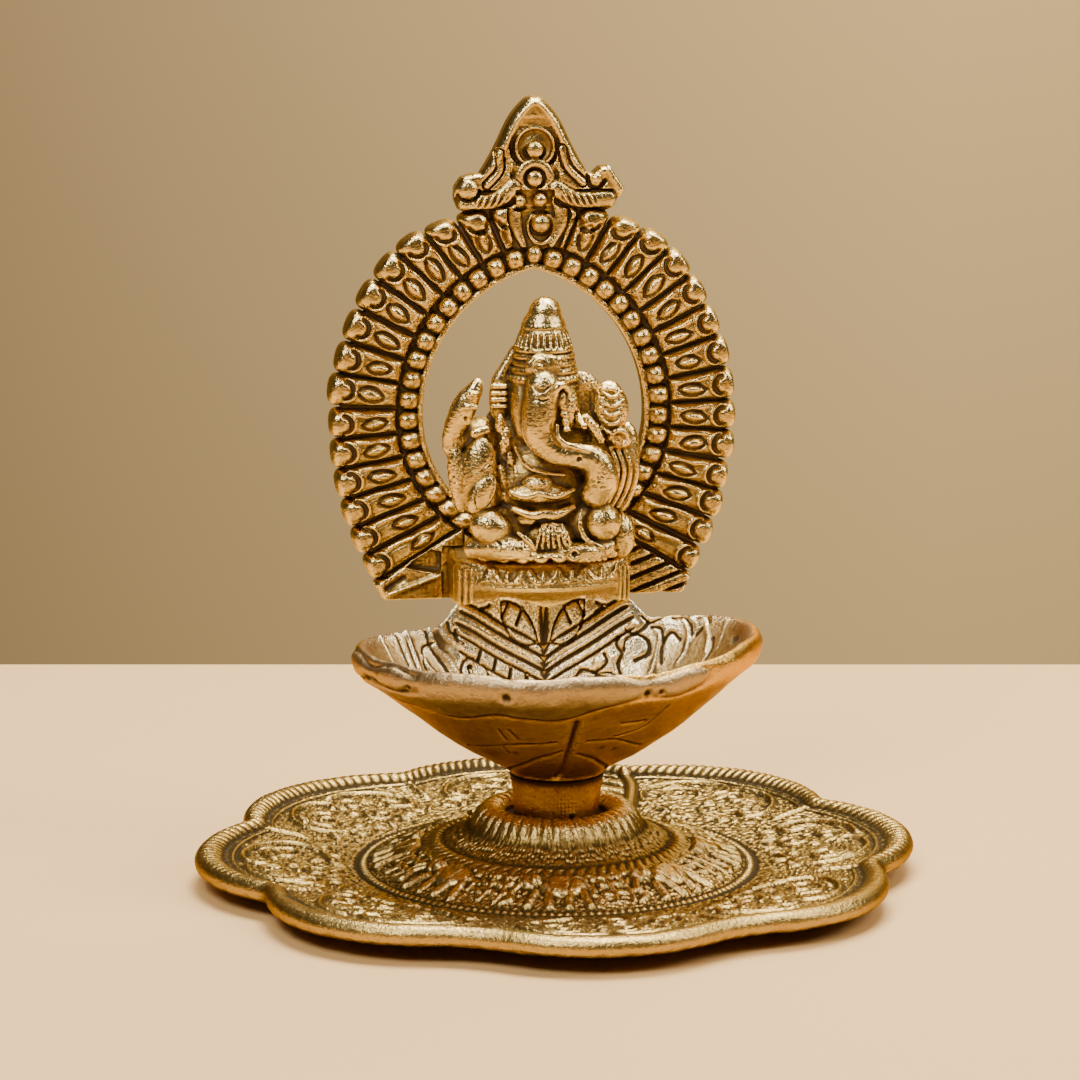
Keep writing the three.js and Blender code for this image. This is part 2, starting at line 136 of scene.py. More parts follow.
def smooth_line(points, steps=6):
    """Points of a smooth curve through the given ones."""
    p = [np.array(q, float) for q in points]
    p = [2 * p[0] - p[1]] + p + [2 * p[-1] - p[-2]]
    line = []
    for i in range(1, len(p) - 2):
        for s in range(steps):
            t = s / steps
            line.append(0.5 * (2 * p[i] + (p[i + 1] - p[i - 1]) * t
                               + (2 * p[i - 1] - 5 * p[i] + 4 * p[i + 1] - p[i + 2]) * t ** 2
                               + (3 * p[i] - p[i - 1] - 3 * p[i + 1] + p[i + 2]) * t ** 3))
    return line + [p[-2]]


def stroke(x, y, points, steps=5):
    """Distance to a smooth curve through the points."""
    line = smooth_line(points, steps)
    nearest = segment(x, y, line[0], line[1])
    for a, b in zip(line[1:-1], line[2:]):
        nearest = np.minimum(nearest, segment(x, y, a, b))
    return nearest


def spiral(centre, start_radius, turns, start_angle, way=1, count=12):
    """Points of a spiral that closes in on its centre."""
    points = []
    for i in range(count):
        share = i / (count - 1)
        angle = start_angle + way * 2 * pi * turns * share
        radius = start_radius * (1 - 0.82 * share)
        points.append((centre[0] + radius * cos(angle), centre[1] + radius * sin(angle)))
    return points


def leaf(x, y, a, b, half_width):
    """Distance to a pointed leaf from a to b, negative inside."""
    length = hypot(b[0] - a[0], b[1] - a[1])
    ux, uy = (b[0] - a[0]) / length, (b[1] - a[1]) / length
    along = (x - a[0]) * ux + (y - a[1]) * uy - length / 2
    across = np.abs((y - a[1]) * ux - (x - a[0]) * uy)
    offset = (length ** 2 / 4 - half_width ** 2) / (2 * half_width)
    return np.hypot(along, across + offset) - (half_width + offset)


def raised(distance, height, roundness):
    """Height of a pad with a rounded edge, from its distance."""
    return height * dome(1.0 - np.clip(-distance / roundness, 0.0, 1.0))


def cord(distance, width, height):
    """Height of a raised round line."""
    return height * dome(distance / (width / 2))


def with_boss(h, far, radius, foot, rise):
    """The heights with a round-topped boss where far, the distance from its middle, is under its radius."""
    return np.maximum(h, (foot + rise * dome(far / radius)) * (far < radius))


def rosette(x, y, centre, radius, petals=6):
    """Height, up to 1, of a small flower."""
    dx, dy = x - centre[0], y - centre[1]
    r, angle = np.hypot(dx, dy), np.arctan2(dy, dx)
    edge = radius * (0.8 + 0.2 * np.abs(np.cos(angle * petals / 2)))
    body = 0.75 * ramp(edge - r, 0.0, 0.25 * radius)
    seams = bell(np.abs(np.sin(angle * petals / 2)), 0.3)
    body = body * (1 - 0.5 * seams * ramp(r, 0.3 * radius, 0.5 * radius))
    return np.maximum(body, dome(r / (0.34 * radius)))


# ------------------------------------------------------------------ meshes

def mesh_object(name, points, faces, values):
    """A smooth-shaded object from points in millimetres, arrays of faces, and named values for each point."""
    mesh = bpy.data.meshes.new(name)
    mesh.vertices.add(len(points))
    mesh.vertices.foreach_set("co", (np.asarray(points) * MM).astype(np.float32).ravel())
    corners = np.concatenate([f.ravel() for f in faces])
    sizes = np.concatenate([np.full(len(f), f.shape[1]) for f in faces])
    mesh.loops.add(len(corners))
    mesh.loops.foreach_set("vertex_index", corners.astype(np.int32))
    mesh.polygons.add(len(sizes))
    mesh.polygons.foreach_set("loop_start", (np.cumsum(sizes) - sizes).astype(np.int32))
    mesh.update(calc_edges=True)
    mesh.validate()
    mesh.polygons.foreach_set("use_smooth", np.ones(len(mesh.polygons), bool))
    for label, value in values.items():
        layer = mesh.attributes.new(label, "FLOAT", "POINT")
        layer.data.foreach_set("value", np.clip(value, 0, 1).astype(np.float32).ravel())
    piece = bpy.data.objects.new(name, mesh)
    bpy.context.scene.collection.objects.link(piece)
    return piece


def finish_piece(piece, node, slot):
    """Give a piece its metal, in a material named after its slot, and its body, and hide the CAD node that it
    stands for.
    """
    piece.data.materials.append(cast_metal(slot, *METALS[slot]))
    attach(piece, BODY)
    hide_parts(node)


def box_blur(values, radius, axis, wraps):
    """Mean over 2 * radius + 1 neighbours along one axis."""
    mode = "wrap" if wraps else "edge"
    pads = [(0, 0)] * values.ndim
    pads[axis] = (radius + 1, radius)
    total = np.cumsum(np.pad(values, pads, mode=mode), axis=axis, dtype=np.float64)
    count = values.shape[axis]
    span = 2 * radius + 1
    upper = np.take(total, np.arange(span, span + count), axis=axis)
    lower = np.take(total, np.arange(0, count), axis=axis)
    return ((upper - lower) / span).astype(np.float32)


def grid_normals(points, wraps=True):
    """Normals of a grid of points whose columns close on themselves, and whose rows do where it wraps."""
    down = np.roll(points, -1, 0) - np.roll(points, 1, 0) if wraps else np.gradient(points, axis=0)
    across = np.roll(points, -1, 1) - np.roll(points, 1, 1)
    normal = np.cross(across, down)
    return normal / np.maximum(np.linalg.norm(normal, axis=2, keepdims=True), 1e-9)


def grid_cavity(points, normals, wraps):
    """0.5 on plain metal, towards 0 in recesses and 1 on crests."""
    value = np.full(points.shape[:2], 0.5)
    for radius, gain in ((1, 2.3), (3, 1.4), (7, 0.40)):
        mean = points
        for axis in (0, 1):
            closes = wraps or axis == 1
            mean = box_blur(box_blur(mean, radius, axis, closes), radius, axis, closes)
        value = value + gain * np.sum((points - mean) * normals, axis=2)
    return value


def outward_first(points, faces):
    """The faces turned so that they look out of the closed body."""
    p = points[faces]
    volume = np.einsum("ij,ij->i", p[:, 0], np.cross(p[:, 1], p[:, 2]) + np.cross(p[:, 2], p[:, 3])).sum()
    return faces if volume > 0 else faces[:, ::-1]


def grid_piece(name, points, normals, wraps=True, extra=None):
    """A closed grid as an object. Where its rows don't wrap, both ends meet the axis at one point each."""
    rows, columns = points.shape[:2]
    values = {"cavity": grid_cavity(points, normals, wraps)}
    values.update(extra or {})
    values = {label: np.broadcast_to(value, (rows, columns)).ravel() for label, value in values.items()}
    index = np.arange(rows * columns).reshape(rows, columns)
    right = np.roll(index, -1, 1)
    last = rows if wraps else rows - 1
    below, across = np.roll(index, -1, 0), np.roll(right, -1, 0)
    quads = np.stack([index, right, across, below], -1)[:last].reshape(-1, 4)
    flat = points.reshape(-1, 3)
    turned = outward_first(flat, quads)
    faces = [np.ascontiguousarray(turned)]
    if not wraps:
        flips = turned is not quads
        ends = ((0, flat[:columns].mean(0)), (rows - 1, flat[-columns:].mean(0)))
        flat = np.vstack([flat] + [middle for _, middle in ends])
        for k, (row, _) in enumerate(ends):
            hub = np.full(columns, rows * columns + k)
            pair = [right[row], index[row]] if (row == 0) != flips else [index[row], right[row]]
            faces.append(np.ascontiguousarray(np.stack([hub] + pair, -1)))
        values = {label: np.concatenate([value, [value[0], value[-1]]]) for label, value in values.items()}
    return mesh_object(name, flat, faces, values)


def rounded(profile, passes=3):
    """A closed profile with its corners cut off again and again, so that they turn round."""
    p = np.array(profile, float)
    for _ in range(passes):
        following = np.roll(p, -1, 0)
        p = np.stack([0.78 * p + 0.22 * following, 0.22 * p + 0.78 * following], 1).reshape(-1, 2)
    return p


def resampled(profile, spacing):
    """A closed profile at steps that spacing(radius, height) gives, in millimetres."""
    p = np.vstack([profile, profile[:1]])
    length = np.hypot(*np.diff(p, axis=0).T)
    middle = (p[1:] + p[:-1]) / 2
    steps = length / np.array([spacing(r, z) for r, z in middle])
    total = np.concatenate([[0], np.cumsum(steps)])
    count = int(round(total[-1]))
    at = np.arange(count) * total[-1] / count
    return np.stack([np.interp(at, total, p[:, 0]), np.interp(at, total, p[:, 1])], 1)


def spun(section, columns):
    """Angle, radius and height of every point of a section spun round the axis."""
    angle = np.linspace(-pi, pi, columns, endpoint=False)[None, :]
    return angle, section[:, :1] + 0 * angle, section[:, 1:] + 0 * angle


# ------------------------------------------------------------------ solid fields

class Casting:
    """A solid field on a cubic grid, in millimetres."""

    FAR = 4.0

    def __init__(self, low, high, voxel, depth_gain=0.0):
        self.voxel = voxel
        self.depth_gain = depth_gain
        self.low = np.array(low, float)
        counts = np.ceil((np.array(high, float) - self.low) / voxel).astype(int) + 1
        self.axes = [self.low[i] + voxel * np.arange(counts[i]) for i in range(3)]
        self.field = np.full(counts, self.FAR, np.float32)

    def window(self, low, high):
        """The part of the grid inside a box, with its coordinates."""
        cut, grids = [], []
        for i in range(3):
            start = int(np.searchsorted(self.axes[i], low[i]))
            stop = max(int(np.searchsorted(self.axes[i], high[i])), start + 1)
            cut.append(slice(start, stop))
            shape = [1, 1, 1]
            shape[i] = -1
            grids.append(self.axes[i][start:stop].reshape(shape))
        return tuple(cut), grids

    def coordinates(self):
        """x, y and z over the whole grid, shaped so that they combine with the field."""
        return self.axes[0][:, None, None], self.axes[1][None, :, None], self.axes[2][None, None, :]

    def merge(self, shape, blend, sign):
        """Join a shape on where sign is 1, cut it out where it is -1. The seam is rounded over blend."""
        distance, low, high = shape
        reach = 2.5 * blend + 1.0
        cut, (x, y, z) = self.window(np.array(low) - reach, np.array(high) + reach)
        near, old = sign * distance(x, y, z), self.field[cut]
        h = np.clip(0.5 + sign * 0.5 * (old - near) / blend, 0.0, 1.0)
        self.field[cut] = old + (near - old) * h - sign * blend * h * (1.0 - h)

    def add(self, shape, blend=0.4):
        self.merge(shape, blend, 1)

    def cut_out(self, shape, blend=0.2):
        self.merge(shape, blend, -1)

    def drill(self, start, end, blend=0.1):
        """A straight screw hole."""
        self.cut_out(taper(start, end, SCREW_HOLE, SCREW_HOLE), blend)

    def cavity_at(self, points):
        """From how much metal lies around each point, at two sizes."""
        metal = np.clip(0.5 - self.field / self.voxel, 0.0, 1.0).astype(np.float32)
        value = np.full(len(points), 0.5)
        for radius, gain in ((0.35, 1.0), (0.9, 0.9), (2.4, self.depth_gain)):
            cells = max(int(round(radius / self.voxel)), 1)
            mean = metal
            for axis in (0, 1, 2):
                mean = box_blur(box_blur(mean, cells, axis, False), cells, axis, False)
            value += gain * (0.5 - self.sample(mean, points))
        return value

    def sample(self, values, points):
        """Values of the grid's cells, read in between at the points."""
        at = (points - self.low) / self.voxel
        top = np.array(values.shape) - 2
        base = np.clip(np.floor(at).astype(int), 0, top)
        t = at - base
        total = 0.0
        for corner in range(8):
            step = np.array([(corner >> k) & 1 for k in range(3)])
            weight = np.prod(np.where(step, t, 1 - t), axis=1)
            total = total + weight * values[tuple((base + step).T)]
        return total

    def piece(self, name):
        """The skin of the metal as an object."""
        grid = openvdb.FloatGrid(background=self.FAR)
        grid.copyFromArray(np.ascontiguousarray(self.field))
        points, _, quads = grid.convertToPolygons(isovalue=0.0, adaptivity=0.0)
        points = points.astype(float) * self.voxel + self.low
        quads = np.ascontiguousarray(outward_first(points, quads))
        return mesh_object(name, points, [quads], {"cavity": self.cavity_at(points)})


def turn_matrix(angles):
    """Turns about X, then Y, then Z, in degrees."""
    rx, ry, rz = (radians(a) for a in angles)
    about_x = np.array([[1, 0, 0], [0, cos(rx), -sin(rx)], [0, sin(rx), cos(rx)]])
    about_y = np.array([[cos(ry), 0, sin(ry)], [0, 1, 0], [-sin(ry), 0, cos(ry)]])
    about_z = np.array([[cos(rz), -sin(rz), 0], [sin(rz), cos(rz), 0], [0, 0, 1]])
    return about_z @ about_y @ about_x


def turned_about(centre, turn):
    """Gives coordinates measured from a centre, along axes turned by the angles."""
    back = turn_matrix(turn).T

    def local(x, y, z):
        dx, dy, dz = x - centre[0], y - centre[1], z - centre[2]
        return [back[i, 0] * dx + back[i, 1] * dy + back[i, 2] * dz for i in range(3)]

    return local


def ball(centre, radii, turn=(0, 0, 0)):
    """A ball or an egg."""
    radii = np.array(radii if np.ndim(radii) else (radii,) * 3, float)
    local = turned_about(centre, turn)

    def distance(x, y, z):
        p = local(x, y, z)
        k0 = np.sqrt(sum((p[i] / radii[i]) ** 2 for i in range(3)))
        k1 = np.sqrt(sum((p[i] / radii[i] ** 2) ** 2 for i in range(3)))
        return k0 * (k0 - 1.0) / np.maximum(k1, 1e-6)

    reach = radii.max()
    return distance, np.array(centre) - reach, np.array(centre) + reach


def taper(a, b, start, end):
    """A round rod from a to b whose radius goes from start to end."""
    a, b = np.array(a, float), np.array(b, float)
    along = b - a

    def distance(x, y, z):
        t = ((x - a[0]) * along[0] + (y - a[1]) * along[1] + (z - a[2]) * along[2]) / (along @ along)
        t = np.clip(t, 0.0, 1.0)
        off = [v - a[i] - t * along[i] for i, v in enumerate((x, y, z))]
        return np.sqrt(off[0] ** 2 + off[1] ** 2 + off[2] ** 2) - (start + (end - start) * t)

    reach = max(start, end)
    return distance, np.minimum(a, b) - reach, np.maximum(a, b) + reach


def rope(points, radii, steps=5):
    """A round rod along a smooth curve, with a radius at each given point."""
    line = smooth_line([(*p, r) for p, r in zip(points, radii)], steps)
    parts = [taper(a[:3], b[:3], a[3], b[3]) for a, b in zip(line[:-1], line[1:])]

    def distance(x, y, z):
        nearest = parts[0][0](x, y, z)
        for part in parts[1:]:
            nearest = np.minimum(nearest, part[0](x, y, z))
        return nearest

    return distance, np.min([p[1] for p in parts], 0), np.max([p[2] for p in parts], 0)


def ring(centre, radius, thickness, turn=(0, 0, 0)):
    """A round hoop, flat in x and y before its turn."""
    local = turned_about(centre, turn)

    def distance(x, y, z):
        p = local(x, y, z)
        return np.hypot(np.hypot(p[0], p[1]) - radius, p[2]) - thickness

    reach = radius + thickness
    return distance, np.array(centre) - reach, np.array(centre) + reach


# ------------------------------------------------------------------ base plate

PLATE_RADIUS = PLATE_HIGH[0]
LOBES = 8
LOBE_ARC = 31 / 70 * PLATE_RADIUS
PLATE_COLUMNS = 1120
LIP_RIDGES = PLATE_COLUMNS / 5
BEAD_CIRCLE = 37.4
LOWER_RING = 23.6
FRIEZE_SCALE = 1.42


def lobe_angle(angle):
    """Angle from the middle of the nearest lobe, and which lobe it is."""
    step = 2 * pi / LOBES
    lobe = np.round(angle / step)
    return angle - step * lobe, lobe % LOBES


def lobed_radius(angle):
    off, _ = lobe_angle(angle)
    centre = PLATE_RADIUS - LOBE_ARC
    near = centre * np.cos(off) + np.sqrt(LOBE_ARC ** 2 - (centre * np.sin(off)) ** 2)
    other = 2 * pi / LOBES - np.abs(off)
    beyond = centre * np.cos(other) + np.sqrt(np.maximum(LOBE_ARC ** 2 - (centre * np.sin(other)) ** 2, 0))
    fillet = 2.2 + 6.0 * ramp(-np.sin(angle), 0.5, 0.85)
    meet = np.clip(1 - (near - beyond) / fillet, 0, 1)
    return near + fillet / 4 * meet ** 2


def plate_middle(radius):
    """Height halfway through the dish's metal, which tells its face from its underside."""
    radii = (12, 17.5, 22.5, 28, 36, 42, 52, 62, 68)
    return np.interp(radius, radii, (9.3, 8.5, 5.9, 3.6, 1.2, 1.2, 2.4, 3.6, 4.3))


def plate_profile():
    """Closed section of the dish: underside from the bolt hole out, then the face back in."""
    hole, floor = BOLT_HOLE, STEM_LOW[2] - 0.3
    profile = [
        (hole, 9), (8, 9), (12, 9), (17.5, 7.4), (22.5, 4.4), (28, 2.2), (34, 0.15), (35.5, 0), (38.5, 0),
        (41.5, 0), (43, 0.25), (52, 1.6), (62, 2.6), (67.5, 2.9), (69.5, 3.6), (70.1, 5), (69.6, 6.2),
        (68.4, 6.9), (66.8, 7.0), (65.2, 6.3), (64.0, 5.2), (62.8, 4.8), (58, 4.3), (48, 3.2), (40.5, 2.35),
        (38.2, 2.1), (36.4, 2.3), (31, 4.1), (26.6, 5.7), (25.2, 6.1), (24.4, 6.8), (23.5, 7.25), (22.3, 7.1),
        (21.2, 7.5), (18.8, 8.7), (17.1, 9.9), (16.2, 11.6), (15.0, 13.3), (12.9, 14.25), (11.1, 13.9),
        (10.1, 12.8), (9.6, floor), (6, floor), (hole, floor), (hole, 10.2),
    ]

    def spacing(radius, height):
        on_face = height > plate_middle(radius)
        return 0.36 if on_face or radius > 66 else 1.1

    return resampled(rounded(profile), spacing)


def lobe_relief(p, q, lobe, edge):
    """Scrollwork of one lobe. p is across it, q outward, edge the distance in from the lip's foot."""
    side = np.where(lobe % 2 == 0, 1.0, -1.0)
    p = p * side
    h = 0.0
    frame_line = [(-4, 42.5), (-11.5, 45.5), (-15.2, 51), (-13.2, 56.8), (-7, 59.8), (-1.2, 59.4),
                  (1.2, 56.8), (-0.4, 54.9)]
    h = np.maximum(h, cord(stroke(p, q, frame_line), 1.5, 1.0))
    hook = [(3.6, 59.6), (9.6, 59.6), (14.6, 56.4), (16.3, 51.2), (13.9, 47.2), (10.6, 48.3), (10.9, 50.9)]
    h = np.maximum(h, cord(stroke(p, q, hook), 1.6, 1.0))
    for line in (spiral((-7.6, 51.6), 4.7, 1.3, 0.4), spiral((4.6, 54.4), 2.9, 1.1, 2.6, -1),
                 spiral((4.4, 46.6), 3.4, 1.2, 1.4), spiral((-11.2, 44.4), 2.3, 1.0, 3.4, -1)):
        h = np.maximum(h, cord(stroke(p, q, line, 2), 0.95, 0.85))
    for centre, radius, petals in (((8.2, 54.6), 2.5, 6), ((-4.1, 45.4), 1.7, 5),
                                   ((9.6, 43.6), 1.9, 5), ((0.6, 50.4), 1.6, 6)):
        h = np.maximum(h, 0.95 * rosette(p, q, centre, radius, petals))
    for a, b, width in (((-1, 40), (-2.6, 44), 0.9), ((1, 40), (2.8, 43.6), 0.9),
                        ((6.4, 40.4), (7.6, 45.6), 1.0), ((-7.6, 40), (-8.6, 44.2), 1.0),
                        ((13.2, 42.4), (12.2, 46.4), 1.0), ((-14.4, 42.8), (-13.4, 47), 1.0),
                        ((1.2, 52.4), (2.2, 57), 0.9), ((-12.6, 53.4), (-9.4, 57.6), 1.0),
                        ((13.4, 49.4), (12, 55.2), 1.1)):
        h = np.maximum(h, raised(leaf(p, q, a, b, width), 0.85, 0.7))
        h = h - 0.35 * bell(segment(p, q, a, b), 0.16) * (leaf(p, q, a, b, width) < 0)
    for i in range(4):
        bar_end = (15.2 - 1.9 * i, 43.6 + 2.6 * i)
        h = np.maximum(h, cord(segment(p, q, bar_end, (bar_end[0] + 3.2, bar_end[1] + 2.0)), 1.0, 0.7))
    border = cord(np.abs(edge - 1.3), 0.9, 0.75)
    return np.maximum(h, border)


def animal(p, q):
    """A small walking elephant in relief, head to the left, feet at q = 0."""
    h = raised(leaf(p, q, (-2.6, 5.4), (4.6, 5.2), 2.5), 1.2, 1.4)
    head = np.hypot((p + 3.6), (q - 6.2)) - 1.75
    h = np.maximum(h, raised(head, 1.25, 1.1))
    h = np.maximum(h, cord(stroke(p, q, [(-4.8, 5.8), (-5.8, 3.8), (-5.6, 1.8), (-6.5, 1.1)]), 1.1, 0.9))
    ear = np.hypot((p + 2.7), (q - 6.2) / 1.2) - 1.0
    h = h + 0.3 * ramp(-ear, 0, 0.3) - 0.4 * bell(ear, 0.2)
    for foot, lean in ((-2.6, -0.7), (-0.9, 0.3), (2.0, -0.4), (3.7, 0.5)):
        h = np.maximum(h, cord(segment(p, q, (foot, 4), (foot + lean, 0.7)), 1.25, 1.0))
    cloth = np.abs(p - 0.6) + 0.3 * np.abs(q - 6.2)
    h = h - 0.35 * bell(np.abs(cloth - 1.7), 0.2) * (q > 4)
    return np.maximum(h, cord(stroke(p, q, [(4.2, 6), (5.2, 4.8), (5.1, 3.2)]), 0.55, 0.6))


def frieze_relief(angle, radius):
    """A ring of walking animals between plants, feet outward."""
    count = 8
    step = 2 * pi / count
    turned = angle + 0.16
    off = turned - step * np.round(turned / step)
    p = off * 31.0 / FRIEZE_SCALE
    q = (36.1 - radius) / FRIEZE_SCALE
    h = animal(p, q)
    for x in (-7.4, 7.6):
        h = np.maximum(h, cord(stroke(p, q, [(x, 1.2), (x + 0.4, 4), (x - 0.3, 7.4)]), 0.7, 0.7))
        for k in range(3):
            y = 2.6 + 1.9 * k
            h = np.maximum(h, raised(leaf(p, q, (x, y), (x + 1.5, y + 1.5), 0.5), 0.75, 0.4))
            h = np.maximum(h, raised(leaf(p, q, (x, y), (x - 1.5, y + 1.3), 0.5), 0.75, 0.4))
    return h


def plate_relief(angle, radius, section_angle):
    """Height of all the dish's ornament over its plain face."""
    scale = lobed_radius(angle) / PLATE_RADIUS
    off, lobe = lobe_angle(angle)
    p, q = radius * np.sin(off) / scale ** 0.5, radius * np.cos(off)
    edge = 64.0 - radius
    grains = pebbles(angle * 52 * np.maximum(radius / 52, 0.6), radius, 1.15)
    field = ramp(radius, BEAD_CIRCLE + 1.4, BEAD_CIRCLE + 2.2) * ramp(-radius, -64.3, -63.9)
    ornament = lobe_relief(p, q * 0.985 / scale ** 0.4, lobe, edge)
    notch = pi / LOBES - np.abs(off)
    rib = cord(notch * radius, 1.8, 0.9) * ramp(radius, 50, 54)
    ornament = np.maximum(ornament * ramp(notch * radius, 0.7, 1.4), rib)
    lumps = pebbles(radius * np.cos(angle), radius * np.sin(angle), 1.7, 12.0)
    h = field * (np.maximum(ornament, 0.4 * grains) + 0.12 * (lumps - 0.55))

    beads = bell(radius - BEAD_CIRCLE, 0.9) * (0.4 + 0.6 * np.abs(np.sin(angle * 80)))
    h = h + 0.7 * beads * (np.abs(radius - BEAD_CIRCLE) < 2.4)
    band = ramp(radius, 25.9, 26.6) * ramp(-radius, -36.6, -36.0)
    h = h + band * (1.15 * np.maximum(frieze_relief(angle, radius), 0.4 * grains) + 0.14 * (lumps - 0.5))
    h = h + (0.5 + 0.3 * (grains - 0.3)) * bell(radius - 25.5, 0.9)
    h = palmette(radius * np.cos(angle), radius * np.sin(angle), h)

    ropes = np.abs(np.sin(angle * 36 + 0.8 * (radius - LOWER_RING))) ** 0.7
    h = h + 0.55 * (ropes - 0.55) * bell(radius - LOWER_RING, 1.2)
    h = h + 0.32 * (grains - 0.3) * bell(radius - 19.6, 2.2)
    flutes = np.abs(np.sin(angle * 20 + 0.35 * section_angle + 0.5 * np.sin(angle * 3))) ** 0.7
    uneven_flutes = 0.5 + 0.28 * np.sin(angle * 5 + 1) * np.sin(angle * 11)
    h = h + uneven_flutes * (flutes - 0.7) * ramp(radius, 9.8, 11.2) * ramp(-radius, -17.6, -15.2)
    for place in (-80, -66):
        gap = bell((angle - radians(place)) * 14.5 - 0.5 * (radius - 14), 0.5)
        h = h - 0.9 * gap * ramp(radius, 11.6, 13.0) * ramp(-radius, -16.8, -15.8)
    return h


def palmette(x, y, h):
    """A smooth bar that curves in from one notch behind the stem, with broad feathered ribs beside it."""
    bar = stroke(x, y, [(24.8, 60.0), (24.2, 52), (21.6, 41), (18.6, 30), (16.6, 20.5)])
    feather = (x > 3) & (x < 23) & (y > 20) & (y < 56)
    ribs = 0.0
    for k in range(6):
        low = 22 + 6.2 * k
        rib_line = [(3.5, low + 1), (10, low + 2.6), (17, low + 1.4), (22, low - 1.6)]
        ribs = np.maximum(ribs, bell(stroke(x, y, rib_line, 3), 1.0))
    inside = feather & (bar > 1.0) & (x < 15.5 + 0.22 * (y - 20))
    h = np.where(inside, 0.85 - 1.1 * ribs, h)
    near = bar < 1.9
    h = np.where(near, h * ramp(bar, 1.1, 1.9), h)
    return np.maximum(h, cord(bar, 2.4, 1.25))


def rim_relief(angle, section_angle, radius):
    """Rope ridges across the rolled lip, worn away on the front lobes."""
    front = ramp(-np.sin(angle + 0.12), 0.12, 0.5)
    strength = 0.55 * (1 - 0.97 * front) * (0.8 + 0.2 * np.sin(angle * 7 + 2))
    lean = 0.5 * section_angle + 1.1 * np.sin(angle * LOBES)
    ridges = np.abs(np.sin(angle * LIP_RIDGES / 2 + lean)) ** 0.55 - 0.62
    return strength * ridges * ramp(radius, 63.6, 64.8) * ramp(-radius, -69.6, -68.4)


def base_plate():
    """The dish, with its cavity values lowered on the low ground of the field and raised on its ornament as
    painted shade and highlight, lowered on the lip, and raised on polished rings.
    """
    profile = plate_profile()
    angle = np.linspace(0, 2 * pi, PLATE_COLUMNS, endpoint=False)[None, :]
    radius, height = profile[:, :1], profile[:, 1:]
    share = ramp(radius, 0.6 * PLATE_RADIUS, PLATE_RADIUS)
    shrink = 1 - share * (1 - lobed_radius(angle) / PLATE_RADIUS)
    swell = 0.35 * np.sin(angle * 3 + 1.0) * ramp(radius, 45, 70)
    points = np.stack([radius * shrink * np.cos(angle), radius * shrink * np.sin(angle),
                       height + 0 * angle], -1)
    normals = grid_normals(points)
    if normals[len(profile) // 8, 0, 2] > 0:
        normals = -normals
    middle = plate_middle(radius)
    on_face = height > middle
    face = ramp(normals[..., 2:3], -0.2, 0.25)[..., 0] * on_face
    section_angle = np.arctan2(normals[..., 2], np.hypot(normals[..., 0], normals[..., 1])) * 2
    flat_radius = radius + 0 * angle
    relief = face * plate_relief(angle, flat_radius, section_angle)
    relief = relief + rim_relief(angle, section_angle, flat_radius) * (on_face & (radius > 63))
    under = (height < middle) & (normals[..., 2] < 0)
    x, y = points[..., 0], points[..., 1]
    relief = relief + 0.10 * wobble(x, y, height, 9.0) * (radius > 45)
    relief = relief + 0.12 * pebbles(x, y, 2.6, 3.0) * under * (radius > 6) * (height > 0.3)
    points = points + normals * relief[..., None]
    points[..., 2] += swell * 0.4 * (points[..., 2] > 0.4)
    # painted shade and highlight: the low ground of the dish's field is darkened and its raised ornament
    # lightened, by relief height
    relief_shade_and_highlight = 0.40 * (relief - 0.40) * ramp(flat_radius, 20, 26) * ramp(-flat_radius, -64.4, -63.2)
    polished_rings = 0.22 * bell(flat_radius - 19.4, 3.6) + 0.24 * bell(flat_radius - 25.4, 1.3)
    stains = ramp(wobble(points[..., 0], points[..., 1], height, 16.0, 2.0), 0.25, 0.6)
    cavity = grid_cavity(points, normals, True) + relief_shade_and_highlight * on_face + polished_rings * on_face
    cavity = cavity - (0.27 + 0.34 * stains) * (flat_radius > 62)
    # painted light: the front of the frieze ring, facing the camera, takes the brighter warm brass as if lit
    # there; over the hub the warm brass goes all the way round
    toward_viewer = ramp(-np.sin(angle), 0.1, 0.8)
    painted_light_front_ring = 0.65 * toward_viewer * ramp(-flat_radius, -36.6, -34) * ramp(flat_radius, 25, 27)
    warm_tone_and_painted_light = ramp(-flat_radius, -16.4, -13.4) + painted_light_front_ring
    piece = grid_piece("dish", points, normals, extra={"cavity": cavity, "warm_tone_and_painted_light": warm_tone_and_painted_light * on_face})
    finish_piece(piece, "base_plate", "pale_brass")


# ------------------------------------------------------------------ arch

WINDOW_HALF, WINDOW_RISE, WINDOW_DROP = 22.0, 28.4, 23.0
ARCH_MIDDLE = 86.0
ARC_OFFSET = (WINDOW_RISE ** 2 - WINDOW_HALF ** 2) / (2 * WINDOW_HALF)
WINDOW_ARC = WINDOW_HALF + ARC_OFFSET
CROWN_ANGLE = atan2(WINDOW_RISE, ARC_OFFSET)
RING_WIDTH = ARCH_HIGH[0] - WINDOW_HALF
OUTER_DROP = 54.0
LOWER_INNER_END = 1.25
LOWER_OUTER_END = asin((ARCH_MIDDLE - 48.0) / OUTER_DROP)
LOWER_SHARE = 0.42
PETALS = 16
BEADS = 18
BEAD_FIRST, BEAD_LAST = 0.02, 0.956
BEAD_CENTRE = 3.05
ARCH_BACK = ARCH_HIGH[1]
ARCH_FLOOR = 48.9
ARCH_VOXEL = 0.2


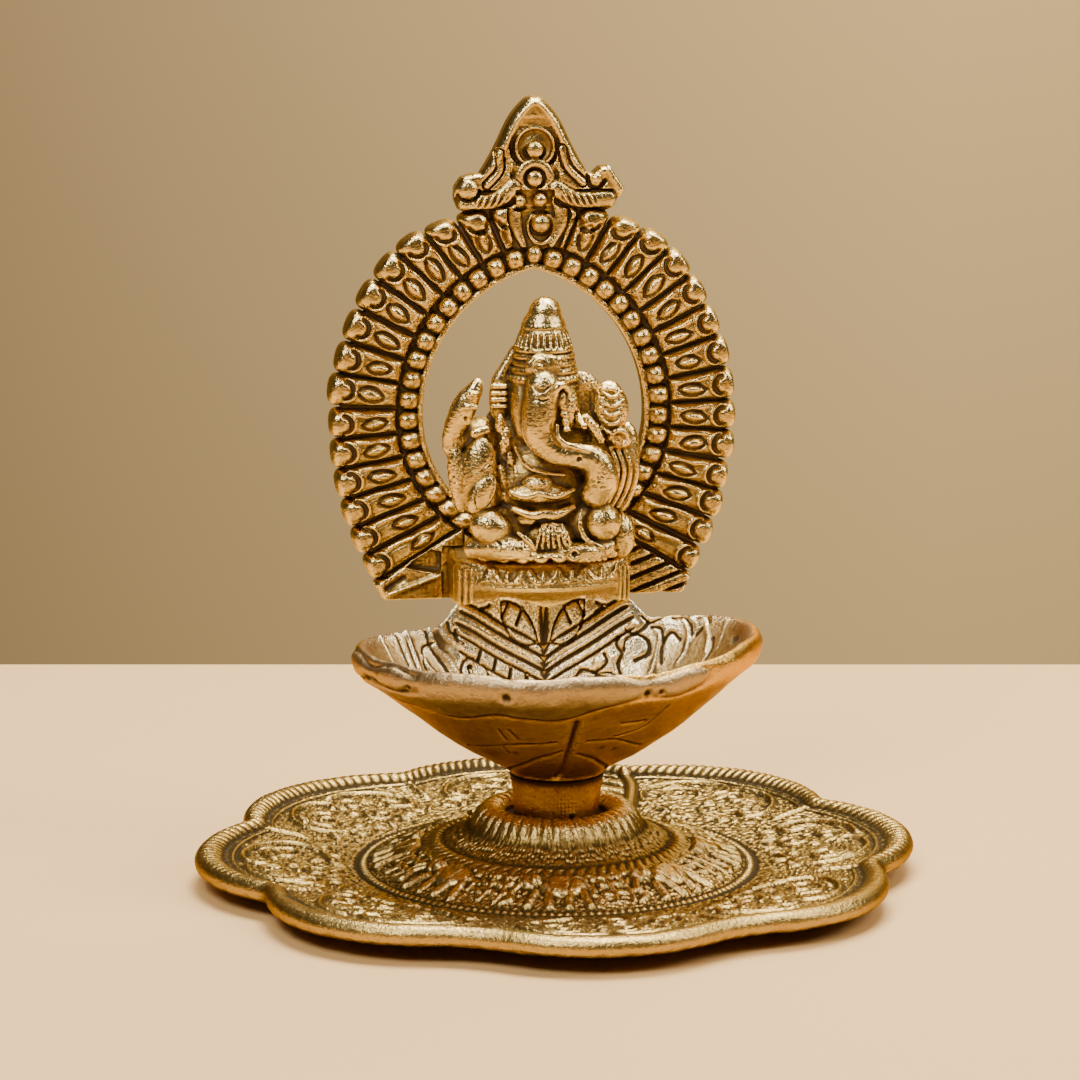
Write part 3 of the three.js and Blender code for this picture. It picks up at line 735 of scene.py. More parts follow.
def ring_coordinates(x, z):
    """Share of the way from foot to crown, distance out from the window's edge, and ring width there."""
    side = np.abs(x)
    up = z >= ARCH_MIDDLE
    angle = np.arctan2(z - ARCH_MIDDLE, side + ARC_OFFSET)
    rise = angle / CROWN_ANGLE
    share = LOWER_SHARE + (1 - LOWER_SHARE) * rise
    out = np.hypot(side + ARC_OFFSET, z - ARCH_MIDDLE) - WINDOW_ARC
    width = RING_WIDTH - 5 * ramp(rise, 0.55, 1.0)
    steps, start = 64, 1.04
    past = np.full(x.shape, 99.0)
    done = np.zeros(x.shape, bool)
    for k in range(steps + 1):
        down = start - start * k / steps
        ix = WINDOW_HALF * cos(down * LOWER_INNER_END)
        iz = ARCH_MIDDLE - WINDOW_DROP * sin(down * LOWER_INNER_END)
        ox = (WINDOW_HALF + RING_WIDTH) * cos(down * LOWER_OUTER_END)
        oz = ARCH_MIDDLE - OUTER_DROP * sin(down * LOWER_OUTER_END)
        length = hypot(ox - ix, oz - iz)
        dx, dz = (ox - ix) / length, (oz - iz) / length
        over = (z - iz) * dx - (side - ix) * dz
        here = ~up & ~done & (over < 0)
        between = np.clip(past / np.maximum(past - over, 1e-6), 0, 1)
        exact = down + (1 - between) * start / steps
        share = np.where(here, LOWER_SHARE * (1 - exact), share)
        out = np.where(here, (side - ix) * dx + (z - iz) * dz, out)
        width = np.where(here, length, width)
        done |= here
        past = over
    return share, out, width


def petal_relief(share, out, width, pitch, side, x, z):
    """Height and edge distance of the ring of petals."""
    index = np.clip(np.floor(share * PETALS), 0, PETALS)
    b = (share * PETALS - index - 0.5) * pitch
    luck = hashed(index, side, 3.0) - 0.5
    fate = hashed(index, side, 11.0) - 0.5
    b = b - 0.25 * luck
    half = np.minimum(pitch / 2 - 0.22, 3.1) + 0.1 * fate
    end = width + 0.1 + 0.6 * luck
    cap = end - 2.2
    rounding = np.maximum(out - cap, 0) * half / 2.2
    edge = (rounding ** 3 + np.abs(b) ** 3) ** (1 / 3) - half
    edge = np.maximum(edge, 5.25 - out)
    h = 2.7 + raised(edge, 1.9, 1.7)
    # bulb on the end, with a deep crescent on its inner side
    knob_a, knob_b = width - 2.5, 0.5 * luck
    da, db = out - knob_a, b - knob_b
    far = np.hypot(da, db)
    h = h + 0.95 * dome(np.hypot(da / 1.15, db) / 2.7) * ramp(-edge, 0, 0.6)
    inward = ramp(-da + 0.3 * fate, -0.55, 0.45)
    h = h - 1.35 * bell(far - 1.8, 0.46) * inward * (edge < -0.25)
    # raised fold along one side and an almond boss near the beads
    fold = b - (half - 0.75) + 0.4 * np.sin((out - 5) * 0.5 + 4 * luck)
    h = h + 0.5 * bell(fold, 0.55) * ramp(out, 5.6, 7) * ramp(-out, -(width - 4.4), -(width - 6)) * (edge < 0)
    h = h - 0.2 * bell(fold + 0.95, 0.3) * ramp(out, 7.5, 10) * ramp(-out, -(width - 4.4), -(width - 5.6))
    eye_a = 5.2 + (0.36 + 0.1 * luck) * (width - 5.2)
    reach, thick = 2.45 + 0.5 * fate, 1.15 + 0.3 * luck
    ex, ey = out - eye_a, b + 0.3 - 0.12 * (out - eye_a) * np.sign(luck)
    offset = (reach ** 2 - thick ** 2) / (2 * thick)
    eye = np.hypot(ex, np.abs(ey) + offset) - (thick + offset)
    h = h - 0.65 * bell(eye - 0.15, 0.28) * (edge < -0.15)
    h = h + 0.7 * ramp(-eye, 0.05, 1.0) * (edge < 0)
    grains = pebbles(x, z, 0.62, 2.0)
    h = h + 0.22 * (grains - 0.5) * ramp(-out, -9.5, -6.5) * ramp(eye, 0.2, 0.5) * (edge < -0.3)
    return h, edge


def bead_relief(share, out, pitch_share, side, x, z):
    """Ledge round the window, and the row of beads in its channel."""
    step = (BEAD_LAST - BEAD_FIRST) / (BEADS - 1)
    k = np.clip(np.round((share - BEAD_FIRST) / step), 0, BEADS - 1)
    luck = hashed(k, side, 7.0) - 0.5
    b = (share - BEAD_FIRST - k * step) / pitch_share
    a = np.abs(out - BEAD_CENTRE - 0.2 * luck) / (2.12 + 0.2 * luck)
    far = (a ** 2.6 + np.abs(b / (2.02 - 0.12 * luck)) ** 2.6) ** (1 / 2.6)
    h = 2.3 + 2.9 * dome(far) * (far < 1)
    grains = pebbles(x, z, 0.55, 4.0)
    ledge = 3.45 + 0.35 * bell(out - 0.3, 0.45) + 0.2 * (grains - 0.5) * ramp(out, 0.2, 0.5)
    return np.where(out < 1.15, ledge, np.maximum(h, (ledge - 0.4) * ramp(-out, -1.6, -1.1)))


def polygon_distance(x, z, points):
    """Signed distance to a closed outline, negative inside."""
    nearest = np.full(x.shape, 1e9)
    inside = np.zeros(x.shape, bool)
    for a, b in zip(points, points[1:] + points[:1]):
        nearest = np.minimum(nearest, segment(x, z, a, b))
        if a[1] != b[1]:
            crosses = (a[1] > z) != (b[1] > z)
            inside ^= crosses & (x < a[0] + (z - a[1]) * (b[0] - a[0]) / (b[1] - a[1]))
    return np.where(inside, -nearest, nearest)


def finial_relief(x, z):
    """The pointed leaf over the crown: two discs, crescents, ribbed scrolls and a hanging drop."""
    flank = [(10.6, 133.2), (8.7, 136.4), (7.1, 139.4), (5.9, 142), (4.3, 144.8), (1.7, 147.6)]
    leaf_line = flank + [(0, 148.1)] + [(-px, pz) for px, pz in reversed(flank)]
    outline = smooth_line(leaf_line, 4)
    left_end = [(-11.6, 133.2), (-14.2, 132.6), (-15.6, 130.6), (-15.7, 128.2), (-14.9, 126.2), (-10, 124.2)]
    right_end = [(10, 124.2), (15.6, 126.0), (16.6, 127.6), (17.9, 129.9), (16.4, 132.2), (14.8, 134.6),
                 (13.0, 134.3), (11.6, 133.0)]
    outline = [tuple(p) for p in outline] + left_end + right_end
    edge = polygon_distance(x, z, outline)
    h = 3.9 + raised(edge, 0.8, 0.8)
    h = h + 0.75 * bell(edge + 1.35, 0.75) * ramp(z, 132.5, 135)
    h = np.maximum(h, 4.3 + 0.9 * ramp(z, 142.6, 144.5) * ramp(-edge, 0.4, 1.8))
    h = h - 0.35 * pebbles(x, z, 0.55, 6.0) * ramp(-edge, 2.0, 2.4) * (z > 133) * (z < 142.5)

    for centre, radius in ((138.4, 4.0), (132.2, 3.95)):
        far = np.hypot(x, z - centre)
        groove = 1.5 * bell(far - radius - 0.45, 0.42) * ramp(-(z - centre), -3.2, 0.8)
        h = h - groove
    far = np.hypot(x, z - 138.4)
    dished = 4.35 + 0.9 * bell(far - 3.7, 0.38) - 0.3 * bell(far - 2.6, 0.7)
    h = np.where(far < 4.1, dished, h)
    knob = np.hypot(x, z - 137.9)
    h = h - 0.9 * bell(knob - 1.95, 0.3) * ramp(-(z - 137.9), -1.0, 0.6)
    h = with_boss(h, knob, 1.75, 4.3, 1.3)
    far = np.hypot(x, z - 132.2)
    annulus = 4.1 + 0.9 * dome(np.abs(far - 3.05) / 0.95)
    h = np.where(far < 4.0, annulus, h)
    h = np.where(far < 2.15, 3.3, h)
    h = np.where(far < 1.65, 4.2 + 1.2 * dome(far / 1.65), h)

    for line in ([(-7.0, 137.2), (-7.0, 133.8), (-9.4, 131.0)], [(5.3, 138.0), (6.5, 134.4), (9.5, 131.3)]):
        far = stroke(x, z, line)
        h = np.where(far < 1.05, np.maximum(h, 4.2) - 0.9 * bell(far - 0.95, 0.25), h)
        h = with_boss(h, far, 0.75, 4.4, 0.85)

    bands = (([(-4.3, 130.6), (-6.2, 128.9), (-9.2, 127.7), (-13.6, 127.5)], -1),
             ([(4.3, 130.2), (6.4, 128.8), (9.4, 127.9), (14.6, 128.0)], 1))
    for line, side in bands:
        far = stroke(x, z, line)
        body = 4.0 + 1.25 * dome(far / 1.75)
        wave = np.cos((x * side + 0.5 * (z - 128)) * 2 * pi / 1.25)
        ribs = 0.6 * np.clip(wave, -1, 0.3) * bell(z - 128.0, 1.6)
        ribs = ribs * ramp(-far, -1.5, -0.7) * ramp(np.abs(x), 4.6, 5.6)
        body = body + ribs * ramp(-np.abs(x), -12.6, -11.6)
        h = np.where(far < 1.75, body, h)
        below = (z < 130) & (far < 3.2)
        h = np.where(below, h - 1.7 * bell(far - 2.15, 0.42), h)
    far = np.hypot(x + 13.1, z - 130.2)
    h = h - 1.4 * bell(far - 2.1, 0.36) * ramp(-(z - 130.2) + 0.3 * (x + 13), 0.2, 1.2)
    h = with_boss(h, far, 2.0, 4.2, 1.35)
    hook = stroke(x, z, [(10.4, 132.6), (10.9, 130.7), (12.6, 130.2), (13.9, 131.6)])
    h = h - 1.5 * bell(hook, 0.34)
    far = np.hypot(x - 12.2, z - 132.1)
    h = with_boss(h, far, 1.25, 4.2, 1.0)
    facet = segment(x, z, (15.2, 133.6), (17.0, 129.9))
    h = np.maximum(h, (3.9 + 1.25 * dome(facet / 1.5)) * (facet < 1.5) * (edge < 0))
    return h, edge


def pendant_relief(x, z, h):
    """Drop hanging under the two discs, between a pair of long leaves."""
    region = polygon_distance(x, z, [(-4.6, 128.6), (-5.4, 125), (-3.8, 118.8), (0.8, 118.4), (5.0, 119),
                                     (7.0, 125), (5.8, 128.6), (1.2, 129.5)])
    h = np.where(region < 0.3, 3.1, h)
    sides = ([(-3.3, 127.6), (-4.0, 124.8), (-3.4, 121.8), (-2.2, 119.2)],
             [(4.7, 127.8), (5.4, 125.0), (4.8, 122.0), (3.4, 119.2)])
    for line in sides:
        far = stroke(x, z, line)
        wide = 1.45 - 0.75 * ramp(-z, -124, -118.5)
        h = with_boss(h, far, wide, 3.3, 1.3)
    for cx, cz, radius in ((-3.0, 127.8, 1.5), (1.1, 128.0, 1.6), (1.3, 123.4, 2.05)):
        far = np.hypot(x - cx, z - cz)
        h = np.where(far < radius + 0.55, np.minimum(h, 2.7), h)
        h = with_boss(h, far, radius, 3.2, 2.2)
    rim = np.abs(np.hypot(x - 1.3, (z - 123.0) * np.where(z < 123, 0.72, 1.0)) - 2.6)
    h = np.maximum(h, (3.0 + 1.1 * dome(rim / 0.4)) * (rim < 0.4) * (z < 125.2))
    far = np.hypot(x / 1.8, (z - 117.3) / 2.0)
    h = with_boss(h, far, 1, 2.3, 2.8)
    return h


def foot_relief(x, z, share, h):
    """Wedge-shaped feet that end the ring on both sides."""
    s = np.abs(x)
    foot = [(14, 63.8), (14, ARCH_FLOOR), (29.6, ARCH_FLOOR), (30.4, 49.5), (32.0, 52.6)]
    edge = polygon_distance(s, z, foot)
    pad = 2.9 + raised(edge, 1.4, 1.0)
    recess = [(18.4, 58.6), (18.4, 54.6), (20.0, 54.4), (25.6, 55.6), (23.6, 57.8), (21, 59.2)]
    pad_left = pad - 1.9 * ramp(-polygon_distance(s, z, recess), -0.2, 0.5)
    ridge = segment(s, z, (19.0, 54.0), (29.2, 50.4))
    pad_left = pad_left + 0.75 * bell(ridge, 0.5) - 0.9 * bell(segment(s, z, (26.2, 53.6), (29.4, 51.6)), 0.5)
    bars = np.abs(((z - 49) * 0.93 - (s - 18) * 0.36) % 2.6 - 1.3)
    pad_right = pad + 0.5 * dome(bars / 0.95) - 1.2 * bell(1.3 - bars, 0.3)
    pad = np.where(x < 0, pad_left, pad_right)
    pad = pad + 0.12 * pebbles(x, z, 0.8, 9.0) * (edge < -0.3)
    inside = (edge < 0.1) & (share < 0.9 / PETALS)
    return np.where(inside, pad, h), edge


def arch():
    """One flat casting: its height over the back is drawn in x and z, then it becomes a solid field."""
    low = np.array([ARCH_LOW[0] - 1.2, ARCH_LOW[1] - 1.0, ARCH_FLOOR - 1.0])
    high = np.array([ARCH_HIGH[0] + 1.2, ARCH_BACK + 0.8, ARCH_HIGH[2] + 1.0])
    casting = Casting(low, high, ARCH_VOXEL)
    x, z = np.meshgrid(casting.axes[0], casting.axes[2], indexing="ij")
    side = np.sign(x)
    share, out, width = ring_coordinates(x, z)
    along, up = np.gradient(share, ARCH_VOXEL)
    slope = np.clip(np.hypot(along, up), 0.006, 0.02)
    pitch = 1 / (PETALS * slope)
    petals, petal_edge = petal_relief(share, out, width, pitch, side, x, z)
    beads = bead_relief(share, out, slope, side, x, z)
    h = np.where(out < 5.0, beads, petals)
    web = out - (width - 2.3)
    outline = np.maximum(-out, np.minimum(petal_edge - 0.1, web))
    outline = np.where(share < 0.9 / PETALS, 9.0, outline)
    h, foot_edge = foot_relief(x, z, share, h)
    outline = np.minimum(outline, foot_edge)
    behind = np.maximum(np.abs(x) - 18.6, np.maximum(ARCH_FLOOR - z, z - 64.2))
    outline = np.minimum(outline, behind)
    h = np.where((behind < 0) & ((share < 0) | (out < 0)), 3.3, h)
    h = pendant_relief(x, z, h)
    crown, crown_edge = finial_relief(x, z)
    crown_zone = (z > 124) & (crown_edge < 0.4)
    off = np.abs(x)
    above = (off > 3.8) & (z > 126.4) | (z > 129.9) | (off > 4.2) & (z > 128.6 - 0.25 * (off - 4))
    h = np.where(crown_zone & above, crown, h)
    saddle = (np.abs(x - 0.4) < 5.0) & (z > 126.6) & (z < 131)
    h = np.where(saddle, np.maximum(h, 3.3), h)
    outline = np.minimum(outline, np.where(z > 124, crown_edge, 9.0))
    seat_back = (np.abs(x) < 18.3) & (z < 59.8)
    h = np.where(seat_back, np.minimum(h, 3.6), h)
    h = np.minimum(h, ARCH_BACK - ARCH_LOW[1] + 0.2)
    h = h + 0.06 * wobble(x, z, z, 5.0)
    h = h - 0.9 * (1 - dome(1 - np.clip(-outline / 0.9, 0, 1)))
    tilt_x, tilt_z = np.gradient(h, ARCH_VOXEL)
    steep = np.sqrt(1 + np.clip(tilt_x ** 2 + tilt_z ** 2, 0, 6))
    y = casting.axes[1][None, :, None]
    front = ((ARCH_BACK - h)[:, None, :] - y) / steep[:, None, :]
    back = y - ARCH_BACK + 0.05 * wobble(x, z, z, 4.0)[:, None, :]
    edge = outline[:, None, :]
    body = np.maximum(np.maximum(front, back), edge)
    casting.field = np.maximum(body, (edge + back) * 0.707 + 0.25).astype(np.float32)
    for screw_x in (-ARCH_SCREW_X, ARCH_SCREW_X):
        casting.drill((screw_x, 27, ARCH_SCREW_Z), (screw_x, 36, ARCH_SCREW_Z), 0.2)
    piece = casting.piece("back_arch")
    finish_piece(piece, "arch", "antique_gold")


# ------------------------------------------------------------------ seated figure

FIGURE_VOXEL = 0.2
FRONT = FIGURE_LOW[1]


def degrees_of(angle):
    return angle * 180 / pi


def crown(cast):
    """Tall tiered crown with a round top, a ribbed tier and a jewelled front plate."""
    x, y = -0.3, 15.2
    cast.add(taper((x, y, 94.0), (x, y, 104.5), 6.5, 4.3), 0.2)
    cast.add(taper((x, y, 104), (x + 0.3, y, 107.5), 3.6, 3.2), 0.2)
    for z, radius, thick in ((105.0, 3.5, 0.9), (103.9, 4.1, 0.6), (100.7, 5.2, 0.6), (99.4, 5.5, 0.6),
                             (98.0, 5.7, 0.55), (96.6, 5.9, 0.7), (95.0, 6.2, 0.9), (93.6, 6.3, 0.6)):
        cast.add(ring((x, y, z), radius, thick), 0.15)
    for k in range(26):
        angle = 2 * pi * k / 26
        low = (x + 5.3 * cos(angle), y + 5.3 * sin(angle), 101.2)
        high = (x + 4.6 * cos(angle), y + 4.6 * sin(angle), 103.5)
        cast.add(taper(low, high, 0.42, 0.36), 0.12)
    for k in range(40):
        angle = 2 * pi * k / 40
        place = (x + 6.75 * cos(angle), y + 6.75 * sin(angle), 95.0)
        cast.add(ball(place, (0.42, 0.42, 0.75), (0, 18, degrees_of(angle))), 0.1)
    cast.add(ball((x - 0.8, y - 5.2, 97.8), (3.6, 1.7, 2.7)), 0.3)
    cast.add(ring((-1.9, FRONT + 3.0, 98.0), 1.35, 0.4, (82, 0, 0)), 0.1)
    cast.add(ball((-1.9, FRONT + 3.1, 98.0), 0.72), 0.1)
    for k in range(5):
        cast.add(ball((0.9 + 1.1 * k, FRONT + 3.5 + 0.35 * k * k, 99.1 - 0.25 * k), (0.55, 0.5, 0.8)), 0.1)
        cast.add(ball((1.0 + 1.05 * k, FRONT + 3.5 + 0.35 * k * k, 97.0 - 0.15 * k), (0.5, 0.5, 0.6)), 0.1)


TRUNK = [(-1.3, 9.6, 94.0), (-2.2, 8.7, 88.4), (-2.0, 8.4, 84.6), (1.0, 8.0, 81.6), (5.4, 7.7, 80.7),
         (8.9, 7.9, 79.3), (10.1, 8.4, 75.8), (9.0, 9.2, 73.2)]
TRUNK_RADII = [3.4, 3.3, 3.0, 2.5, 2.5, 2.9, 3.3, 3.0]


def head(cast):
    """Elephant's head: brow, cheeks, ears, eyes, a tusk and the trunk curling to its left."""
    cast.add(ball((-0.6, 15, 91.0), (6.9, 6.0, 7.2)), 0.8)
    cast.add(ball((-4.8, 12.4, 89.5), (2.4, 2.6, 6.2)), 0.5)
    cast.add(ball((3.6, 11.6, 89.8), (2.6, 3.2, 4.6)), 0.5)
    # ears: a narrow ribbed edge on one side, a broad plate on the other
    cast.add(ball((-8.6, 15.8, 91.6), (2.2, 1.9, 5.4), (0, 4, 0)), 0.3)
    cast.add(taper((-9.0, 15.8, 94.6), (-5.8, 15.8, 100.4), 1.3, 0.9), 0.4)
    for z in (93.6, 92.3, 91.0, 89.7):
        cast.add(taper((-10.3, 14.4, z), (-8.0, 13.4, z + 0.1), 0.55, 0.5), 0.12)
    cast.add(ball((7.0, 14.2, 90.4), (4.9, 1.7, 5.9), (0, -14, 12)), 0.4)
    cast.cut_out(ball((7.6, 12.3, 91.0), (3.0, 0.8, 3.6), (0, -14, 12)), 0.3)
    cast.add(rope(TRUNK, TRUNK_RADII), 0.45)
    # brow folds and eyes
    cast.cut_out(rope([(-3.6, 6.9, 94.6), (-2.0, 6.3, 93.6), (-0.2, 6.7, 94.6)], [0.3, 0.4, 0.3]), 0.1)
    cast.cut_out(rope([(-3.2, 6.8, 92.4), (-1.9, 6.1, 91.7), (-0.6, 6.4, 92.2)], [0.2, 0.28, 0.2]), 0.1)
    cast.add(rope([(0.5, 7.5, 91.6), (1.0, 7.3, 93.8), (2.4, 7.8, 94.5), (3.6, 9.0, 93.0), (3.9, 9.4, 91.2)],
                  [0.6, 0.75, 0.7, 0.6, 0.4]), 0.15)
    cast.add(ball((2.2, 8.5, 91.6), (0.85, 0.8, 1.5), (0, 12, 0)), 0.12)
    cast.cut_out(rope([(1.35, 7.6, 93.0), (1.3, 7.5, 90.6), (2.0, 7.7, 89.0)], [0.25, 0.3, 0.2]), 0.08)
    for k in range(4):
        cast.add(ball((2.5 + 0.25 * k, 8.9 - 0.1 * k, 90.0 - 1.45 * k), (0.95, 0.8, 0.75), (0, 30, 0)), 0.12)
    # tusk, with the dark hollow beside it
    cast.cut_out(ball((5.3, 10.0, 88.0), (0.9, 1.6, 1.5)), 0.15)
    cast.add(taper((5.4, 10.8, 88.2), (6.6, 8.8, 86.2), 0.8, 0.6), 0.1)
    cast.cut_out(ball((3.4, 8.6, 85.0), (0.55, 0.9, 0.6)), 0.1)
    # cheek groove down the side of the trunk, and folds across its end
    cheek = [(-5.3, 8.9, 92.5), (-5.6, 8.5, 87.5), (-4.8, 8.2, 83.6), (-2.2, 7.8, 80.6), (1.5, 8.0, 78.6)]
    cast.cut_out(rope(cheek, [0.35, 0.5, 0.5, 0.45, 0.3]), 0.15)
    cast.add(rope([(1.0, 6.2, 87.0), (1.1, 5.9, 84.9), (2.6, 5.6, 83.4), (5.6, 5.5, 82.4), (8.6, 5.9, 81.4)],
                  [0.3, 0.42, 0.5, 0.45, 0.3]), 0.35)
    for k in range(6):
        z = 79.2 - 1.0 * k
        fold = [(7.6, 6.2, z), (9.4, 5.35, z - 0.35), (11.6, 5.9, z + 0.1)]
        cast.cut_out(rope(fold, [0.13, 0.2, 0.13]), 0.1)
    cast.cut_out(ball((5.2, 5.4, 80.4), (0.55, 0.6, 0.45)), 0.15)


def raised_hand(cast):
    """Hand held up in blessing on the figure's right, palm forward, with its forearm and sleeve."""
    cast.add(rope([(-12.2, 15.8, 84.4), (-16.6, 14.8, 83.4), (-18.3, 14.0, 82.0)], [2.6, 2.4, 1.8]), 0.4)
    cast.add(rope([(-18.1, 14.2, 80.6), (-18.3, 13.8, 84.2), (-16.6, 13.0, 88.6), (-15.4, 12.6, 91.4)],
                  [1.3, 1.9, 2.5, 2.2]), 0.4)
    cast.add(rope([(-15.6, 12.4, 91.0), (-14.3, 12.2, 93.0), (-13.6, 12.2, 94.5)], [2.1, 1.7, 1.1]), 0.3)
    for x, z in ((-15.7, 91.6), (-14.9, 93.0)):
        crease = [(x - 1.4, 10.2, z - 0.5), (x, 9.9, z), (x + 2.2, 10.4, z + 0.1)]
        cast.cut_out(rope(crease, [0.2, 0.28, 0.2]), 0.1)
    cast.add(rope([(-16.8, 10.9, 89.9), (-15.6, 10.2, 90.3), (-14.0, 10.5, 90.2)], [0.45, 0.6, 0.4]), 0.15)
    cast.add(rope([(-15.6, 10.6, 92.6), (-14.6, 10.3, 92.7), (-13.4, 10.8, 92.6)], [0.4, 0.5, 0.3]), 0.15)
    cast.cut_out(rope([(-16.4, 11.0, 88.9), (-15.3, 10.6, 86.9), (-14.2, 11.0, 88.6)], [0.3, 0.5, 0.3]), 0.12)
    cast.add(taper((-14.3, 11.6, 84.9), (-11.8, 12.4, 85.4), 0.95, 0.8), 0.15)


def palm(cast):
    """Lower hand on the same side, open like a leaf, with an engraved leaf in it."""
    cast.add(ball((-13.6, 12.2, 77.0), (3.7, 2.8, 7.3), (0, 8, -12)), 0.3)
    cast.add(ball((-13.0, 9.9, 73.4), (2.3, 1.3, 4.2), (0, 28, 0)), 0.2)
    for line in ([(-14.0, 9.2, 70.3), (-14.6, 8.9, 73.5), (-13.0, 8.7, 76.4), (-11.0, 9.3, 78.0)],
                 [(-14.0, 9.0, 70.3), (-12.0, 8.8, 71.6), (-10.9, 9.2, 74.6), (-11.0, 9.4, 78.0)],
                 [(-14.0, 8.8, 70.6), (-12.8, 8.4, 73.6), (-11.2, 9.0, 77.4)]):
        cast.cut_out(rope(line, [0.16, 0.22, 0.22, 0.16][:len(line)]), 0.08)
    for z in (77.6, 79.4, 81.2):
        crease = [(-14.9, 9.7, z), (-13.2, 9.3, z + 0.5), (-11.9, 9.8, z + 1.8)]
        cast.cut_out(rope(crease, [0.14, 0.2, 0.14]), 0.1)
    cast.add(ball((-17.2, 13.4, 76.5), (1.9, 2.2, 7.2), (0, -6, 0)), 0.4)


def lotus_hand(cast):
    """Hand on the other side, holding a ribbed bud, over falling drapery."""
    cast.add(ball((12.4, 12.6, 89.3), (3.5, 2.6, 5.3), (0, -8, 0)), 0.2)
    for k in range(5):
        z = 91.8 - 1.75 * k
        wide = 2.5 - 0.12 * abs(k - 2) ** 2
        line = [(12.4 - wide, 11.2, z + 0.9), (12.3, 9.75, z - 0.2), (12.4 + wide, 11.2, z + 0.9)]
        cast.add(rope(line, [0.22, 0.42, 0.22]), 0.15)
        cast.cut_out(rope([(px, py - 0.1, pz - 0.78) for px, py, pz in line], [0.15, 0.3, 0.15]), 0.12)
    cast.add(rope([(10.4, 11.2, 93.2), (12.6, 10.4, 93.0), (14.8, 11.4, 91.2)], [0.35, 0.45, 0.3]), 0.15)
    cast.add(ball((14.0, 12.4, 83.4), (2.7, 2.2, 2.4)), 0.3)
    curl = [(12.0, 10.6, 83.4), (12.9, 10.0, 84.9), (14.6, 9.9, 84.8), (15.4, 10.3, 83.4), (14.4, 10.0, 82.2)]
    cast.add(rope(curl, [0.4, 0.5, 0.5, 0.5, 0.4]), 0.12)
    cast.cut_out(rope([(13.0, 10.2, 83.6), (13.9, 10.0, 83.2), (14.0, 10.2, 82.0)], [0.35, 0.4, 0.3]), 0.1)
    cast.add(ball((15.4, 15.2, 77.0), (3.1, 3.0, 9.0), (0, 6, 0)), 0.5)
    for k in range(4):
        x = 12.9 + 1.35 * k
        line = [(x - 0.6, 11.6 + 0.5 * k, 81.4), (x + 0.7, 11.2 + 0.55 * k, 77.4),
                (x - 0.1, 11.4 + 0.5 * k, 73.0), (x - 1.8, 11.2 + 0.4 * k, 69.8)]
        cast.add(rope(line, [0.4, 0.55, 0.5, 0.35]), 0.15)


def body(cast):
    """Shoulders, chest and round belly, with necklace and folded cloth."""
    cast.add(ball((-0.5, 18.4, 79.0), (12.6, 5.6, 14.5)), 0.8)
    cast.add(ball((-12.4, 16.6, 82.8), (4.0, 3.8, 4.6)), 0.8)
    cast.add(ball((11.4, 16.6, 82.8), (4.0, 3.8, 4.6)), 0.8)
    cast.add(ball((-0.4, 14.6, 74.0), (9.2, 5.6, 8.6)), 0.8)
    folds = ((-8.3, 83.4, 1.0, 2.6), (-9.3, 86.6, 0.9, 1.9), (-7.2, 79.8, 0.8, 1.6),
             (-8.6, 76.2, 1.1, 2.6), (-7.9, 72.0, 0.9, 1.6), (-5.6, 78.6, 1.3, 1.2))
    for k, (x, z, half, high) in enumerate(folds):
        cast.add(ball((x, 11.6 + 0.2 * k, z), (half, 0.9, high), (0, 10 - 9 * k, 0)), 0.2)
    cast.add(rope([(-6.4, 10.6, 82.0), (-4.6, 9.6, 78.9), (-1.2, 9.0, 77.4), (3.0, 9.2, 76.8)],
                  [0.4, 0.5, 0.45, 0.3]), 0.2)
    cast.add(rope([(7.4, 10.9, 87.4), (9.0, 10.9, 85.4), (10.2, 10.9, 83.4)], [1.0, 1.1, 0.9]), 0.2)


def sweets(cast):
    """Bowl of sweets held at the belly."""
    cast.add(ball((-1.6, 10.0, 73.3), (6.5, 3.0, 2.2)), 0.2)
    cast.add(ball((-2.2, 9.6, 75.0), (3.3, 2.4, 2.2)), 0.15)
    cast.add(rope([(-7.8, 8.8, 73.8), (-5.2, 7.5, 73.0), (-2.2, 7.0, 73.6), (1.0, 7.2, 73.0),
                   (4.6, 8.6, 74.0)],
                  [0.4, 0.6, 0.55, 0.6, 0.4]), 0.2)
    cast.cut_out(rope([(-7.8, 8.4, 72.0), (-5.4, 7.2, 70.9), (-3.0, 6.9, 71.2), (-1.5, 6.8, 71.9),
                       (0.2, 6.9, 71.3), (2.6, 7.3, 71.1), (4.9, 8.6, 72.3)],
                      [0.25, 0.42, 0.42, 0.3, 0.42, 0.42, 0.25]), 0.12)
    cast.add(rope([(-7.0, 9.2, 70.4), (-3.8, 7.9, 69.3), (-1.4, 7.6, 69.6), (1.4, 7.9, 69.4),
                   (4.6, 9.4, 70.4)],
                  [0.7, 0.9, 0.9, 0.9, 0.7]), 0.3)
    for x in (2.1, 3.5):
        cast.cut_out(taper((x, 7.0, 72.2), (x + 0.1, 7.2, 74.2), 0.25, 0.25), 0.1)
    cast.add(ball((-4.4, 9.8, 68.2), (2.0, 1.6, 1.4)), 0.3)


